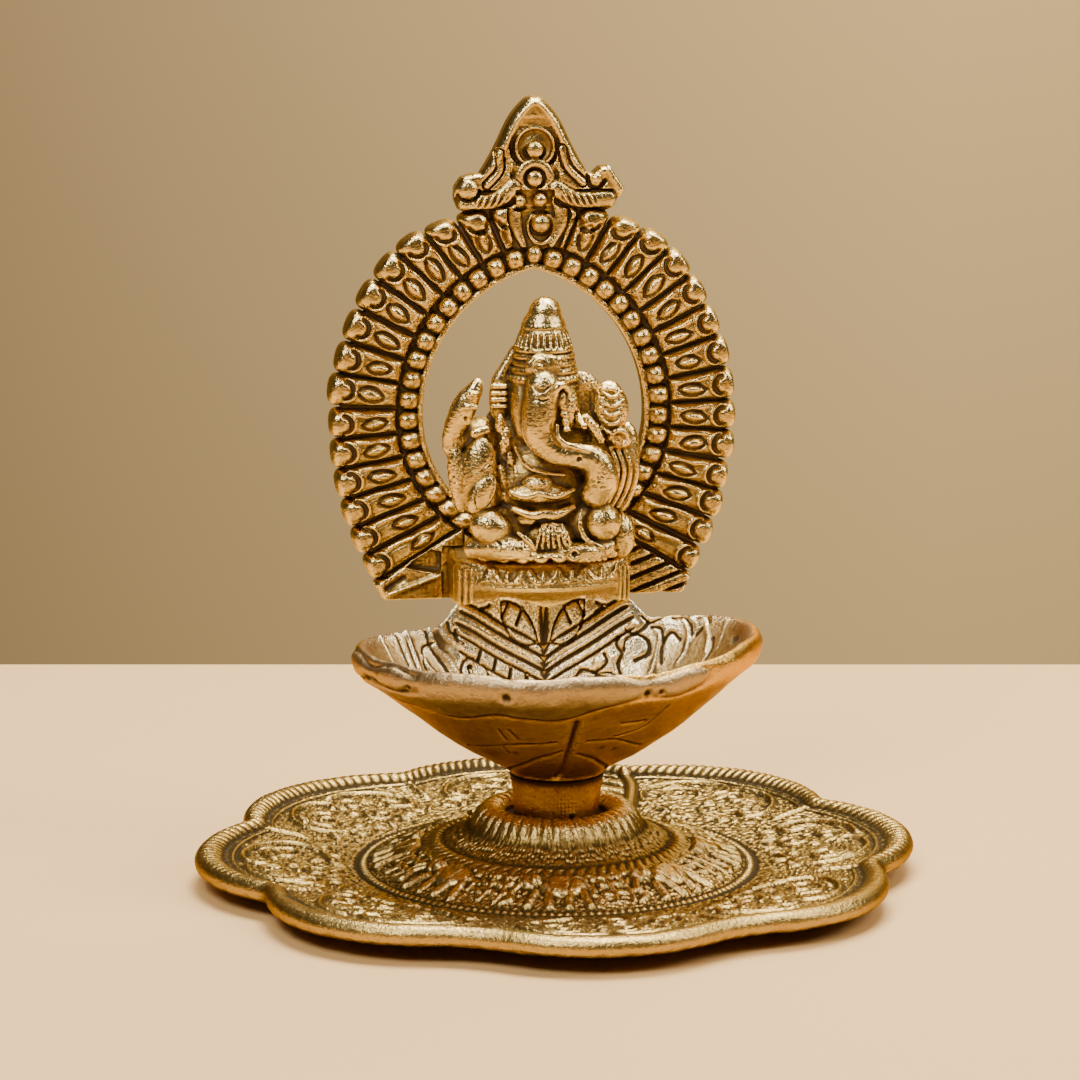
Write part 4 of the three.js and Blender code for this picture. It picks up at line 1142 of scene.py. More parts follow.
def legs(cast):
    """Crossed legs: round knees, feet with anklets and toes, and cloth between them."""
    cast.add(rope([(-3.5, 15.5, 66.6), (-8.0, 13.6, 66.4), (-11.4, 11.6, 66.4)], [4.6, 4.4, 3.6]), 0.5)
    cast.add(ball((-11.2, 10.4, 66.6), (4.4, 3.4, 3.5), (0, 24, 0)), 0.3)
    cast.add(rope([(3.5, 15.5, 66.6), (7.2, 13.8, 66.6), (9.6, 12.2, 66.8)], [4.6, 4.4, 3.9]), 0.5)
    cast.add(ball((10.4, 10.0, 67.2), (3.6, 3.3, 3.8)), 0.2)
    cast.cut_out(rope([(7.9, 7.8, 69.6), (7.5, 7.2, 67.8), (8.4, 6.7, 65.9), (10.4, 6.9, 64.8)],
                      [0.25, 0.42, 0.42, 0.25]), 0.1)
    cast.add(rope([(6.2, 8.8, 69.8), (5.8, 8.3, 67.2), (6.9, 7.9, 64.4), (10.2, 8.0, 62.6)],
                  [0.35, 0.5, 0.5, 0.35]), 0.15)
    cast.add(rope([(-14.4, 12.2, 62.4), (-9.4, 9.2, 62.8), (-6.0, 8.2, 62.6), (-3.9, 8.0, 61.6)],
                  [2.0, 2.5, 2.2, 1.3]), 0.3)
    cast.add(ball((-4.1, 7.2, 61.4), (1.15, 0.9, 0.9)), 0.1)
    cast.add(rope([(-6.4, 7.6, 66.0), (-4.4, 7.0, 64.4), (-3.2, 6.9, 62.8)], [0.35, 0.55, 0.4]), 0.12)
    cast.add(rope([(-7.9, 7.4, 64.9), (-6.1, 6.9, 63.6), (-5.6, 6.8, 62.2)], [0.3, 0.45, 0.3]), 0.12)
    cast.cut_out(taper((-11.0, 8.6, 60.3), (-4.6, 6.9, 60.2), 0.35, 0.55), 0.1)
    cast.add(rope([(2.2, 9.4, 62.2), (4.6, 8.3, 61.8), (8.0, 8.6, 61.6), (11.4, 10.6, 62.2)],
                  [1.8, 2.0, 1.9, 1.8]), 0.3)
    cast.add(ring((4.4, 6.6, 61.8), 1.1, 0.42, (78, 0, 0)), 0.1)
    cast.cut_out(ball((4.5, 6.2, 61.8), (0.6, 1.2, 0.6)), 0.1)
    cast.cut_out(ball((2.6, 6.9, 63.0), (0.6, 0.9, 0.6)), 0.15)
    for k in range(4):
        root, tip = (7.2 + 1.0 * k, 7.2 + 0.35 * k, 62.4), (7.3 + 1.1 * k, 6.9 + 0.4 * k, 60.4)
        cast.add(taper(root, tip, 0.42, 0.5), 0.08)
    cast.add(ball((0.4, 11.4, 64.4), (5.2, 3.4, 3.4)), 0.4)
    for k in range(7):
        x = -2.6 + 0.95 * k
        fold = [(x * 0.6 + 0.3, 8.6, 67.4), (x + 0.2, 7.8, 65.0), (x * 1.25 + 0.4, 7.7, 62.9)]
        cast.add(rope(fold, [0.25, 0.36, 0.3]), 0.1)
    cast.add(ball((14.6, 13.4, 64.0), (2.9, 3.6, 4.4)), 0.5)
    cast.add(ball((0, 15.5, 61.4), (15.5, 8.6, 1.6)), 0.4)
    for k in range(8):
        x = -12.4 + 3.5 * k
        cast.add(ball((x, 15.9 - 8.6 * (1 - (x / 15.5) ** 2) ** 0.5, 60.9), (1.45, 1.0, 0.95)), 0.15)
    for x, y in ((-11.6, 8.9), (-9.6, 7.8), (-7.8, 7.2), (8.6, 7.6)):
        fold = [(x - 0.9, y, 64.6), (x, y - 0.4, 63.2), (x + 1.3, y - 0.1, 61.8)]
        cast.cut_out(rope(fold, [0.16, 0.28, 0.16]), 0.1)


def stippled(cast, boxes, size=0.62, depth=0.16):
    """Fine grains over the parts of a casting that lie in the boxes (x, z, half width, half height)."""
    flat_x, flat_z = np.meshgrid(cast.axes[0], cast.axes[2], indexing="ij")
    mask = np.zeros(flat_x.shape)
    for cx, cz, wide, high in boxes:
        mask = np.maximum(mask, ramp(-np.hypot((flat_x - cx) / wide, (flat_z - cz) / high), -1.1, -0.9))
    grains = (pebbles(flat_x, flat_z, size, 8.0) - 0.4) * depth * mask
    cast.field -= grains[:, None, :].astype(np.float32)


def uneven(cast, depth, size):
    """Slight waviness of a cast surface."""
    cast.field += (depth * wobble(*cast.coordinates(), size)).astype(np.float32)


def figure():
    cast = Casting(FIGURE_LOW - 1.5, FIGURE_HIGH + 1.5, FIGURE_VOXEL, 1.0)
    body(cast)
    legs(cast)
    lotus_hand(cast)
    raised_hand(cast)
    palm(cast)
    sweets(cast)
    head(cast)
    crown(cast)
    stippled(cast, ((7.4, 90.6, 4.0, 4.6), (-2.0, 75.2, 3.0, 1.6), (-7.6, 63.0, 3.2, 2.0),
                    (-8.4, 80, 2.2, 9.0), (9.0, 84.6, 2.6, 3.2), (0.4, 65.0, 3.4, 3.0),
                    (14.6, 64.5, 3.0, 3.6), (-17.6, 78, 1.8, 8)))
    stippled(cast, ((0.0, 80.0, 24.0, 24.0),), 0.8, 0.05)
    uneven(cast, 0.08, 3.6)
    z = cast.axes[2][None, None, :]
    cast.field = np.maximum(cast.field, (FIGURE_LOW[2] - z).astype(np.float32))
    cast.drill((0, FIGURE_SCREW_Y, 55), (0, FIGURE_SCREW_Y, 67))
    piece = cast.piece("seated_figure")
    finish_piece(piece, "figure", "antique_gold")


# ------------------------------------------------------------------ seat

SEAT_VOXEL = 0.2
SEAT_HALF = SEAT_HIGH[0]
SEAT_MIDDLE = 19.0


def seat():
    """D-shaped block with a smooth inset foot, a ledge, a leaf band and a moulded top edge."""
    cast = Casting(SEAT_LOW - 1.2, SEAT_HIGH + 1.2, SEAT_VOXEL)
    x, y, z = cast.coordinates()
    floor, top = SEAT_LOW[2], SEAT_HIGH[2]
    reach = SEAT_MIDDLE - SEAT_LOW[1]
    ahead = np.minimum(y - SEAT_MIDDLE, 0)
    turn = np.arctan2(-ahead, np.abs(x) * reach / SEAT_HALF + 1e-6)
    around = np.hypot(x / SEAT_HALF, ahead / reach)
    edge = (around - 1) * (SEAT_HALF + (reach - SEAT_HALF) * np.sin(turn))
    edge = np.where(y > SEAT_MIDDLE, np.abs(x) - SEAT_HALF, edge)
    inset = np.interp(z, (50.3, 52.0, 53.2, 54.0, 54.8, 55.5, 56.2, 58.0, 59.1, 59.5),
                      (2.7, 2.2, 1.1, 0.15, -0.15, 0.15, 0.55, 1.35, 2.0, 2.5))
    ends = ramp(np.abs(x), 9.0, 17.0)
    inset = inset * (1 - ends) + 0.5 * ends
    front = (y < SEAT_MIDDLE) * 1.0
    leaves = 0.0
    for k in range(9):
        cx = -12.2 + 3.05 * k + 0.5 * sin(5 * k)
        lean = (0.9 if k % 2 else -0.9) + 0.7 * sin(3 * k)
        line = [(cx - lean, 57.9), (cx - 0.4 * lean, 56.6), (cx + lean, 55.1)]
        leaves = np.maximum(leaves, cord(stroke(x, z, line, 3), 1.5, 0.5))
        vein = [(cx + 1.6, 57.8), (cx + 1.3, 56.2), (cx + 2.1, 55.3)]
        leaves = np.maximum(leaves, cord(stroke(x, z, vein, 3), 0.9, 0.35))
    leaves = leaves * (1 - ramp(np.abs(x), 13.4, 14.4)) * front * ramp(z, 55.4, 55.9)
    reeds = 0.2 * np.cos(x * 2 * pi / 1.05) * ramp(np.abs(x), 14.0, 14.6) * ramp(-z, -58.0, -57.6)
    grains = 0.16 * (pebbles(x, z, 0.6, 5.0) - 0.4) * ramp(z, 54.8, 55.1) * ramp(-z, -58.2, -57.9) * front
    surface = edge + inset - leaves - reeds * front - grains
    lip = np.maximum(surface, z - top)
    lip = np.maximum(lip, (surface + z - top) * 0.707 + 0.45)
    arcs = floor + 2.5 * np.exp(-((np.abs(x) - 8.2) / 5.2) ** 2) * ramp(-y, -21.5, -20.0)
    cast.field = np.maximum(lip, np.maximum(arcs - z, y - SEAT_HIGH[1])).astype(np.float32)
    uneven(cast, 0.06, 3.0)
    cast.field = np.maximum(cast.field, (y - SEAT_HIGH[1]).astype(np.float32))
    cast.cut_out(ball((16.3, 14.5, top + 0.2), (0.55, 0.7, 1.1)), 0.1)
    for side in (-1, 1):
        cast.drill((side * SEAT_SCREW_X, SEAT_SCREW_Y, 48), (side * SEAT_SCREW_X, SEAT_SCREW_Y, 54.5))
        cast.drill((side * ARCH_SCREW_X, 23.5, ARCH_SCREW_Z), (side * ARCH_SCREW_X, 31, ARCH_SCREW_Z))
    cast.drill((0, FIGURE_SCREW_Y, 55), (0, FIGURE_SCREW_Y, 62))
    piece = cast.piece("figure_seat")
    finish_piece(piece, "seat", "antique_gold")


# ------------------------------------------------------------------ bowl

BOWL_COLUMNS = 960
BOWL_HALF = BOWL_HIGH[0]
BOWL_FRONT, BOWL_BACK = -BOWL_LOW[1], 19.6
HUB_RADIUS = 9.1


def leaf_radius(angle):
    """Outline of the bowl's lip: long to the front, short to the back, cleft in the middle of the back."""
    reach = np.where(np.sin(angle) > 0, BOWL_BACK, BOWL_FRONT)
    oval = 1 / np.sqrt((np.cos(angle) / BOWL_HALF) ** 2 + (np.sin(angle) / reach) ** 2)
    return oval - 2.4 * bell(angle - pi / 2, 0.2)


def bowl_profile():
    """Section from the bore's end, down round the hub, up the outside, over the lip and down inside."""
    hub = BOWL_LOW[2]
    profile = [
        (0, 25.2), (2.7, 25.2), (2.75, 25.1), (2.75, hub + 0.1), (2.8, hub), (8.95, hub), (9.1, hub + 0.12),
        (9.4, 21.2), (11.1, 22.4), (14, 24.0), (18, 26.2), (24, 30.2), (30, 34.7), (33.6, 37.4), (36.6, 39.4),
        (38.4, 40.6), (39.3, 42.0), (39.6, 43.6), (39.1, 45.0), (38.0, 45.8), (36.8, 45.5), (35.2, 43.9),
        (33, 41.8), (27, 36.2), (20, 31), (12, 27.8), (6, 27.0), (0, 26.8),
    ]
    line = np.array(smooth_line(profile[8:-1], 4))
    line = np.vstack([profile[:8], line, profile[-1:]])
    length = np.hypot(*np.diff(line, axis=0).T)
    fine = (line[1:, 1] > 20.7) & (line[1:, 0] > 8.9) | (line[1:, 1] > 26.5)
    total = np.concatenate([[0], np.cumsum(length / np.where(fine, 0.32, 0.9))])
    at = np.linspace(0, total[-1], int(total[-1]) + 1)
    return np.stack([np.interp(at, total, line[:, 0]), np.interp(at, total, line[:, 1])], 1)


def groove(x, y, points, width, depth, steps=4):
    """Depth of a cut line, rounded across and fading at its ends."""
    return depth * bell(stroke(x, y, points, steps), width / 1.7)


def bands(u, v):
    """Both halves: grooved stippled bands that sweep up from the midrib, and a cartouche above them."""
    s = np.abs(u)
    level = v - 3.2 * np.tanh(s / 6.5) + 0.012 * np.maximum(s - 18, 0) ** 2
    reach = ramp(-s, -26.5, -24.0)
    h = 0.0
    for place, width in ((18.35, 0.30), (20.5, 0.42), (23.1, 0.42), (25.3, 0.40)):
        h = h - 0.75 * bell(level - place, width) * reach
    ridge = np.where(u > 0, 1.0, 0.35)
    for place in (19.0, 21.2, 22.4, 23.9):
        h = h + 0.3 * ridge * bell(level - place, 0.28) * reach
    top = leaf(s, v, (2.2, 26.6), (14.6, 32.4), 3.3)
    h = h + 0.45 * ramp(-top, -0.1, 1.0) - 0.55 * bell(top, 0.28)
    for a, b in (((7.4, 32.8), (8.9, 29.4)), ((12.4, 32.6), (13.6, 29.6))):
        h = h - 0.85 * bell(segment(s, v, a, b), 0.42)
    h = h - 0.7 * bell(segment(s, v, (18.0, 30.4), (20.2, 28.6)), 0.4)
    h = h - 0.5 * bell(segment(s, v, (17, 28.8), (20, 29.0)), 0.3)
    return h, level


def left_marks(u, v, level):
    """Left half: a row of square blocks, a curl and long leaf curves towards the tip."""
    s = -u
    h = -0.7 * bell(level - 15.3, 0.3) * ramp(-s, -23.5, -21.5) * (s > 2.0)
    blocks = np.abs((s - 0.4) % 4.25 - 2.125)
    row = ramp(level, 15.3, 15.8) * ramp(-level, -18.2, -17.8) * (s < 20) * (s > 0)
    h = h - 0.95 * bell(2.125 - blocks, 0.48) * row
    far = np.hypot((s - 17.4) / 1.12, v - 16.0)
    h = h - 0.75 * bell(far - 3.1, 0.36) * ramp(-(v - 12.6), -12, 0.5) + 0.25 * ramp(-far, -3.0, -1.2)
    h = h - groove(s, v, [(18.9, 17.0), (19.3, 16.2), (18.2, 15.0), (15.9, 13.9)], 0.55, 0.75)
    h = h - 0.6 * bell(np.hypot(s - 18.8, v - 16.7), 0.6)
    for line, height in (([(30.4, 20.1), (27.6, 17.4), (23.6, 15.6), (19.9, 12.6)], 0.5),
                         ([(27.8, 21.6), (26.1, 19.7), (22.8, 19.3)], 0.45),
                         ([(35.2, 16.4), (32.0, 13.1), (28.6, 9.4)], 0.4),
                         ([(29.6, 13.4), (27.2, 11.9), (23.2, 11.4), (21.6, 10.0)], 0.5)):
        h = h + groove(s, v, line, 0.8, height)
    for line, width, depth in (([(31.2, 19.4), (28.4, 16.6), (24.6, 14.6), (21.2, 11.8)], 0.5, 0.45),
                               ([(24.9, 21.6), (24.4, 20.8), (23.6, 19.9)], 0.9, 0.8),
                               ([(28.0, 17.6), (29.9, 15.4), (28.9, 12.6), (27.4, 11.0)], 0.5, 0.5),
                               ([(37.2, 14.4), (33.5, 10.8), (29.8, 7.0)], 0.5, 0.5),
                               ([(33.4, 13.6), (30.4, 10.2)], 0.4, 0.25),
                               ([(27.0, 22.4), (25.6, 21.0), (22.0, 20.2)], 0.4, 0.5)):
        h = h - groove(s, v, line, width, depth)
    h = h + groove(s, v, [(40.2, 10.7), (36.8, 7.6), (33.4, 3.8)], 0.35, 0.22)
    return h * (s > 0)


def right_marks(u, v):
    """Right half: knobbed scrolls below the bands, then hooked leaves towards the tip."""
    h = 0.0
    dark = (
        ([(5.6, 16.4), (7.0, 18.2), (9.4, 19.6), (11.4, 18.6), (12.4, 17.6)], 0.6, 0.7),
        ([(11.9, 18.1), (13.8, 18.0), (15.8, 18.6), (15.9, 20.3)], 0.6, 0.7),
        ([(8.2, 15.3), (9.6, 16.9), (12.3, 17.2), (14.4, 15.9), (14.2, 14.3)], 0.5, 0.65),
        ([(12.4, 17.7), (15.6, 16.2), (17.9, 12.8)], 0.4, 0.5),
        ([(17.4, 14.6), (17.9, 17.0), (19.6, 18.2), (19.4, 20.6), (20.6, 21.6)], 0.7, 0.75),
        ([(20.4, 18.6), (22.0, 20.2), (24.6, 19.8), (25.9, 17.6), (24.6, 15.4), (21.6, 15.4)], 0.65, 0.75),
        ([(22.8, 21.9), (24.0, 20.2), (26.0, 20.0), (27.8, 20.6)], 0.6, 0.65),
        ([(27.4, 22.2), (28.2, 20.4), (30.6, 20.0)], 0.5, 0.6),
        ([(28.0, 19.4), (29.5, 18.0), (28.6, 15.6)], 0.7, 0.6),
        ([(26.0, 12.4), (27.6, 14.6), (29.6, 16.0), (31.4, 15.8), (31.9, 13.6)], 0.6, 0.6),
        ([(33.0, 18.2), (34.9, 17.0), (35.5, 14.6), (34.6, 12.6)], 0.7, 0.65),
        ([(35.3, 11.6), (37.2, 11.7)], 0.5, 0.55),
        ([(37.4, 14.4), (39.3, 13.4), (39.2, 11.2)], 0.5, 0.5),
        ([(37.9, 7.6), (36.0, 5.4), (30.0, 4.6), (22.0, 8.0)], 0.7, 0.35),
    )
    bright = (
        ([(28.2, 19.0), (28.7, 17.2), (25.6, 14.0), (22.2, 11.0)], 0.6, 0.4),
        ([(34.8, 16.4), (34.6, 14.0), (32.0, 10.8), (28.8, 9.6)], 0.55, 0.35),
        ([(38.2, 11.6), (37.2, 8.8), (35.2, 6.6)], 0.5, 0.35),
        ([(36.0, 15.4), (33.6, 11.6)], 0.4, 0.25),
        ([(42.3, 8.2), (40.2, 6.6), (37.2, 4.2)], 0.35, 0.22),
    )
    for line, width, depth in dark:
        h = h - groove(u, v, line, width, depth)
    for line, width, height in bright:
        h = h + groove(u, v, line, width, height)
    for cx, cy, radius in ((8.9, 17.9, 1.3), (13.9, 19.6, 1.2), (21.0, 20.0, 1.2), (24.9, 21.6, 1.1)):
        h = h + 0.35 * dome(np.hypot(u - cx, v - cy) / radius)
    h = h - 0.8 * bell(np.hypot(u - 41.6, (v - 0.4) * 0.7), 1.3)
    return h * (u > 0)


def inside_relief(u, v):
    h, level = bands(u, v)
    h = h + left_marks(u, v, level) + right_marks(u, v)
    pattern = ramp(-np.abs(u), -25, -20) * ramp(v, 11, 14)
    h = h + 0.10 * (pebbles(u, v, 0.62, 1.0) - 0.4) * pattern
    h = h + 0.3 * ramp(level, 13, 16) * pattern
    valley = 0.8 * np.exp(-np.abs(u) / 1.25) * ramp(v, 9, 15)
    return h - valley


def outside_marks(x, y):
    """Lines engraved under the bowl, drawn as seen from below."""
    h = -groove(x, y, [(-0.5, -28.0), (-0.9, -20), (-0.9, -12), (-1.6, -9.4)], 1.15, 0.75)
    for line in ([(-9.9, -3.6), (-9.6, -9), (-6.6, -16.4), (-2.1, -20.3)],
                 [(1.0, -19.2), (4.8, -16.2), (8.0, -10.2), (8.6, -6.2)]):
        h = h - groove(x, y, line, 0.7, 0.45)
    for line in ([(-18.6, -10.8), (-12.4, -19.0), (-3.6, -23.0)], [(2.2, -23.2), (8.2, -21.9), (13.6, -15.9)],
                 [(7.3, -23.2), (13.4, -23.2), (16.9, -27.4)], [(8.1, -26.6), (13.0, -25.1)],
                 [(-14.5, -22.8), (-12.7, -20.6)], [(-12.7, -23.8), (-10.7, -21.8)],
                 [(-12.8, -17.7), (-11.5, -16.2)]):
        h = h - groove(x, y, line, 0.5, 0.32, 3)
    for cx, cy in ((5.5, -20.2), (8.2, -18.6), (-10.4, -16.8)):
        h = h - 0.3 * bell(np.hypot(x - cx, y - cy), 0.8)
    return h


def bowl():
    profile = bowl_profile()
    angle, radius, height = spun(profile, BOWL_COLUMNS)
    outward = np.clip((radius - HUB_RADIUS) / (BOWL_HALF - HUB_RADIUS), 0, 1)
    stretch = 1 + (leaf_radius(angle) / BOWL_HALF - 1) * np.sqrt(outward)
    x, y = radius * stretch * np.cos(angle), radius * stretch * np.sin(angle)
    lobes = 0.9 * np.abs(np.sin(3.5 * angle + 0.6)) + 0.5 * np.sin(9 * angle + 2) * np.sin(2 * angle)
    z = height + 4.5 * ramp(-np.abs(x), -21.5, -16.5) * (y > 0) * outward ** 1.5
    z = z + outward ** 2 * (2.3 * ramp(x, 12, 39) + 0.3 * bell(np.sin(angle) - 0.42, 0.3))
    z = z + 0.5 * lobes * outward ** 4
    z = z + 2.2 * outward ** 3 * bell(np.abs(x) - 8.2, 5.4) * (y > 0)
    points = np.stack([x, y, z], -1)

    rim_row = int(np.argmax(profile[:, 1]))
    inner = np.arange(len(profile)) >= rim_row
    step = np.linalg.norm(np.diff(points, axis=0), axis=2)
    reach = np.vstack([np.cumsum(step[::-1], axis=0)[::-1], np.zeros((1, BOWL_COLUMNS))])
    u, v = reach * np.cos(angle), reach * np.sin(angle)

    normals = grid_normals(points, False)
    if normals[len(profile) - 3, 0, 2] < 0:
        normals = -normals
    degree = np.degrees(angle)
    lower = 33.3 + 6.0 * ramp(degree, -106, -60) - 5.0 * ramp(degree, -30, 60)
    lower = lower + 5.4 * ramp(degree, -60, 60) + 4.0 * ramp(-degree, 158, 178)
    lower = lower + 0.9 * np.sin(angle * 9 + 1)
    lip = np.where(inner[:, None], ramp(radius, 34.4, 36.2), ramp(radius, lower - 0.25, lower + 0.35))
    lip = lip * np.where(inner[:, None], ramp(-np.sin(angle), -0.25, 0.15), 1.0)
    relief = np.where(inner[:, None], inside_relief(u, v) * (1 - lip) * ramp(reach, 3, 8), 0.0)
    under = ~inner[:, None] & (radius > 9.2) & (height > 21)
    relief = relief + outside_marks(x, y) * under * (1 - lip)
    relief = relief - 0.35 * bell(radius - lower, 0.5) * ~inner[:, None]
    crack = bell(radius - 38.8 - 0.4 * np.sin(angle * 17), 0.5) * ~inner[:, None] * ramp(-degree, 136, 150)
    relief = relief - 0.8 * crack * (0.8 + 0.2 * np.sin(angle * 41 + 2 * np.sin(angle * 23)))
    for place, size in ((-114.3, 0.9), (-69.2, 0.75), (-64.5, 0.6), (-147.0, 0.5)):
        spot = np.hypot((degree - place) * 0.62, (radius - 39.2) * 1.3 + (height - 42.4) * 0.6)
        relief = relief - 1.0 * size * bell(spot, size)
    relief = relief + lip * (0.22 * wobble(x, y, z, 9.0) + 0.08 * wobble(x, y, z, 3.7, 3.0))
    relief = relief + 0.16 * wobble(x, y, z, 10.0) * ramp(radius, 10, 14)
    relief = relief + 0.05 * wobble(x, y, z, 2.6, 1.0) * under
    smooth_end = ramp(np.minimum(radius, 40), 3.4, 5.0)
    points = points + normals * (relief * smooth_end)[..., None]
    # painted shade: the midrib valley inside the bowl is darkened in the cavity value, as if in shadow
    valley = bell(u, 1.5) * ramp(v, 9, 15) * inner[:, None]
    cavity = grid_cavity(points, normals, False) - 1.1 * valley
    # inside lays the paler inside finish, painted light, over the amber
    piece = grid_piece("leaf_bowl", points, normals, wraps=False, extra={
        "cavity": cavity, "inside": inner[:, None] * (1 - lip) + 0 * angle, "worn": lip})
    finish_piece(piece, "bowl", "satin_amber")


LUG_HALF_WIDTH = 14.0
LUG_THICKNESS = 4.0
LUG_FRONT = 18.8
LUG_GAP = 0.3
LUG_ROUNDING = 0.7


def lug():
    """Flat lug at the back of the bowl, which the seat is screwed to from below."""
    top = SEAT_LOW[2] - LUG_GAP
    low = np.array([-LUG_HALF_WIDTH, LUG_FRONT, top - LUG_THICKNESS])
    high = np.array([LUG_HALF_WIDTH, SEAT_HIGH[1] - 1, top])
    cast = Casting(low - 1, high + 1, SEAT_VOXEL)
    boxes = zip(cast.coordinates(), (low + high) / 2, (high - low) / 2)
    outside = [np.maximum(np.abs(v - middle) - half + LUG_ROUNDING, 0) for v, middle, half in boxes]
    cast.field = (np.sqrt(sum(off ** 2 for off in outside)) - LUG_ROUNDING).astype(np.float32)
    for screw_x in (-SEAT_SCREW_X, SEAT_SCREW_X):
        cast.drill((screw_x, SEAT_SCREW_Y, low[2] - 2), (screw_x, SEAT_SCREW_Y, top + 2))
    piece = cast.piece("bowl_lug")
    finish_piece(piece, "bowl", "satin_amber")


# ------------------------------------------------------------------ stem

STEM_COLUMNS = 320


def stem():
    """Plain round stem between dish and bowl, with a small pit and faint tool marks."""
    low, high = STEM_LOW[2], STEM_HIGH[2]
    profile = [(BOLT_HOLE, low), (5, low), (8.0, low), (8.2, low + 0.3), (8.2, low + 1.6), (8.4, low + 4),
               (8.75, low + 6.4), (9.05, high - 0.3), (9.05, high), (6, high), (BOLT_HOLE, high),
               (BOLT_HOLE, low + 4.2)]
    section = resampled(rounded(profile, 2), lambda radius, height: 0.25 if radius > 7.5 else 0.7)
    angle, radius, height = spun(section, STEM_COLUMNS)
    points = np.stack([radius * np.cos(angle), radius * np.sin(angle), height], -1)
    normals = grid_normals(points)
    outer = int(np.argmax(section[:, 0]))
    if normals[outer, STEM_COLUMNS // 2, 0] > 0:
        normals = -normals
    arc = angle * 8.6
    wall = ramp(radius, 7.6, 8.0)
    pit = bell(np.hypot(arc - radians(-78) * 8.6, height - (low + 1.9)), 0.45)
    hatch = np.cos(arc * 2 * pi / 0.75) + np.cos(height * 2 * pi / 0.75)
    hatch = hatch * bell(arc + 13.2, 2.6) * bell(height - 15, 2.4)
    relief = wall * (0.05 * wobble(points[..., 0], points[..., 1], height, 5.0) - 0.8 * pit + 0.03 * hatch)
    points = points + normals * relief[..., None]
    zero = 0 * radius
    piece = grid_piece("stem_post", points, normals, extra={"inside": zero, "worn": zero})
    finish_piece(piece, "stem", "satin_amber")


# ------------------------------------------------------------------ fasteners

SCREW_COLUMNS = 64
CROSS_HALF_WIDTH = 0.17     # of the head's radius, like the one below
CROSS_REACH = 0.58


def cross_arm(across, along):
    """1 inside one arm of the cross recess, from distances to its middle in head radii."""
    narrow = ramp(-across, -CROSS_HALF_WIDTH - 0.04, -CROSS_HALF_WIDTH)
    return narrow * ramp(-along, -CROSS_REACH, -CROSS_REACH + 0.08)


def screw(name, node, shank, pitch, along=(0, 0, 1)):
    """Pan-head screw with a cross recess and a thread. along points from its head to its tip."""
    low, high = node_box(node)
    along = np.array(along, float)
    length = np.abs(along @ (high - low))
    middle = (low + high) / 2
    start = middle - along * length / 2
    side = np.array([1.0, 0, 0])
    other = np.cross(along, side)
    head = (high[0] - low[0]) / 2
    thick = 0.73 * head if shank < 2 else 0.68 * head
    rows = [(head * k / 12, 0.32 * thick * (k / 12) ** 4) for k in range(1, 12)]
    rows += [(head * 0.985, 0.5 * thick), (head, 0.75 * thick), (head * 0.98, thick), (shank + 0.25, thick),
             (shank, thick + 0.2)]
    steps = int((length - thick - 0.8) / (pitch / 6))
    rows += [(shank, thick + 0.2 + (k + 1) * pitch / 6) for k in range(steps)]
    rows += [(shank * 0.8, length - 0.25), (shank * 0.4, length)]
    angle, radius, depth = spun(np.array(rows), SCREW_COLUMNS)
    threaded = ramp(depth, thick + 0.6, thick + 1.0) * ramp(-depth, -length + 0.3, -length + 0.5)
    turns = depth / pitch - angle / (2 * pi)
    wave = np.abs((turns % 1.0) - 0.5) * 2
    radius = radius - threaded * 0.32 * pitch * wave
    a, b = np.abs(radius * np.cos(angle)) / head, np.abs(radius * np.sin(angle)) / head
    cross = np.maximum(cross_arm(a, b), cross_arm(b, a))
    depth = depth + 0.5 * thick * cross * (depth < 0.5 * thick)
    points = start + depth[..., None] * along + radius[..., None] * (
        np.cos(angle)[..., None] * side + np.sin(angle)[..., None] * other)
    normals = grid_normals(points, False)
    outer = len(rows) // 2
    away = points[outer, 0] - start - along * ((points[outer, 0] - start) @ along)
    if normals[outer, 0] @ away < 0:
        normals = -normals
    piece = grid_piece(name, points, normals, wraps=False)
    finish_piece(piece, node, "zinc_steel")


def washer():
    """Flat washer with its stamped edges rounded."""
    low, high = node_box("base_washer")
    rim, hole = high[0], WASHER_HOLE
    bottom, top = low[2], high[2]
    corners = [(hole, bottom), (rim, bottom), (rim, top), (hole, top)]
    section = resampled(rounded(corners, 2), lambda radius, height: 0.2)
    angle, radius, height = spun(section, SCREW_COLUMNS)
    points = np.stack([radius * np.cos(angle), radius * np.sin(angle), height], -1)
    piece = grid_piece("bolt_washer", points, grid_normals(points))
    finish_piece(piece, "base_washer", "zinc_steel")


def fasteners():
    screw("plate_bolt", "base_bolt", 2.4, 0.8)
    washer()
    screw("figure_fixing", "figure_screw", 1.28, 0.5)
    for side in ("left", "right"):
        screw("seat_fixing_" + side, "seat_screw_" + side, 1.28, 0.5)
        screw("arch_fixing_" + side, "arch_screw_" + side, 1.28, 0.5, (0, -1, 0))


# ------------------------------------------------------------------ materials

def ramp_node(tree, source, stops):
    """A colour ramp read by source. stops is [(place, (r, g, b))]."""
    node = tree.nodes.new("ShaderNodeValToRGB")
    while len(node.color_ramp.elements) < len(stops):
        node.color_ramp.elements.new(0.5)
    for element, (place, colour) in zip(node.color_ramp.elements, stops):
        element.position = place
        element.color = (*colour, 1.0)
    tree.links.new(source, node.inputs[0])
    return node


def noise_node(tree, coordinates, scale, detail=4.0, roughness=0.6):
    node = tree.nodes.new("ShaderNodeTexNoise")
    node.inputs["Scale"].default_value = scale
    node.inputs["Detail"].default_value = detail
    node.inputs["Roughness"].default_value = roughness
    tree.links.new(coordinates, node.inputs["Vector"])
    return node


def math_node(tree, operation, *values):
    """A sum, product and so on of values that are sockets or numbers."""
    node = tree.nodes.new("ShaderNodeMath")
    node.operation = operation
    for socket, value in zip(node.inputs, values):
        if isinstance(value, (int, float)):
            socket.default_value = value
        else:
            tree.links.new(value, socket)
    return node.outputs[0]


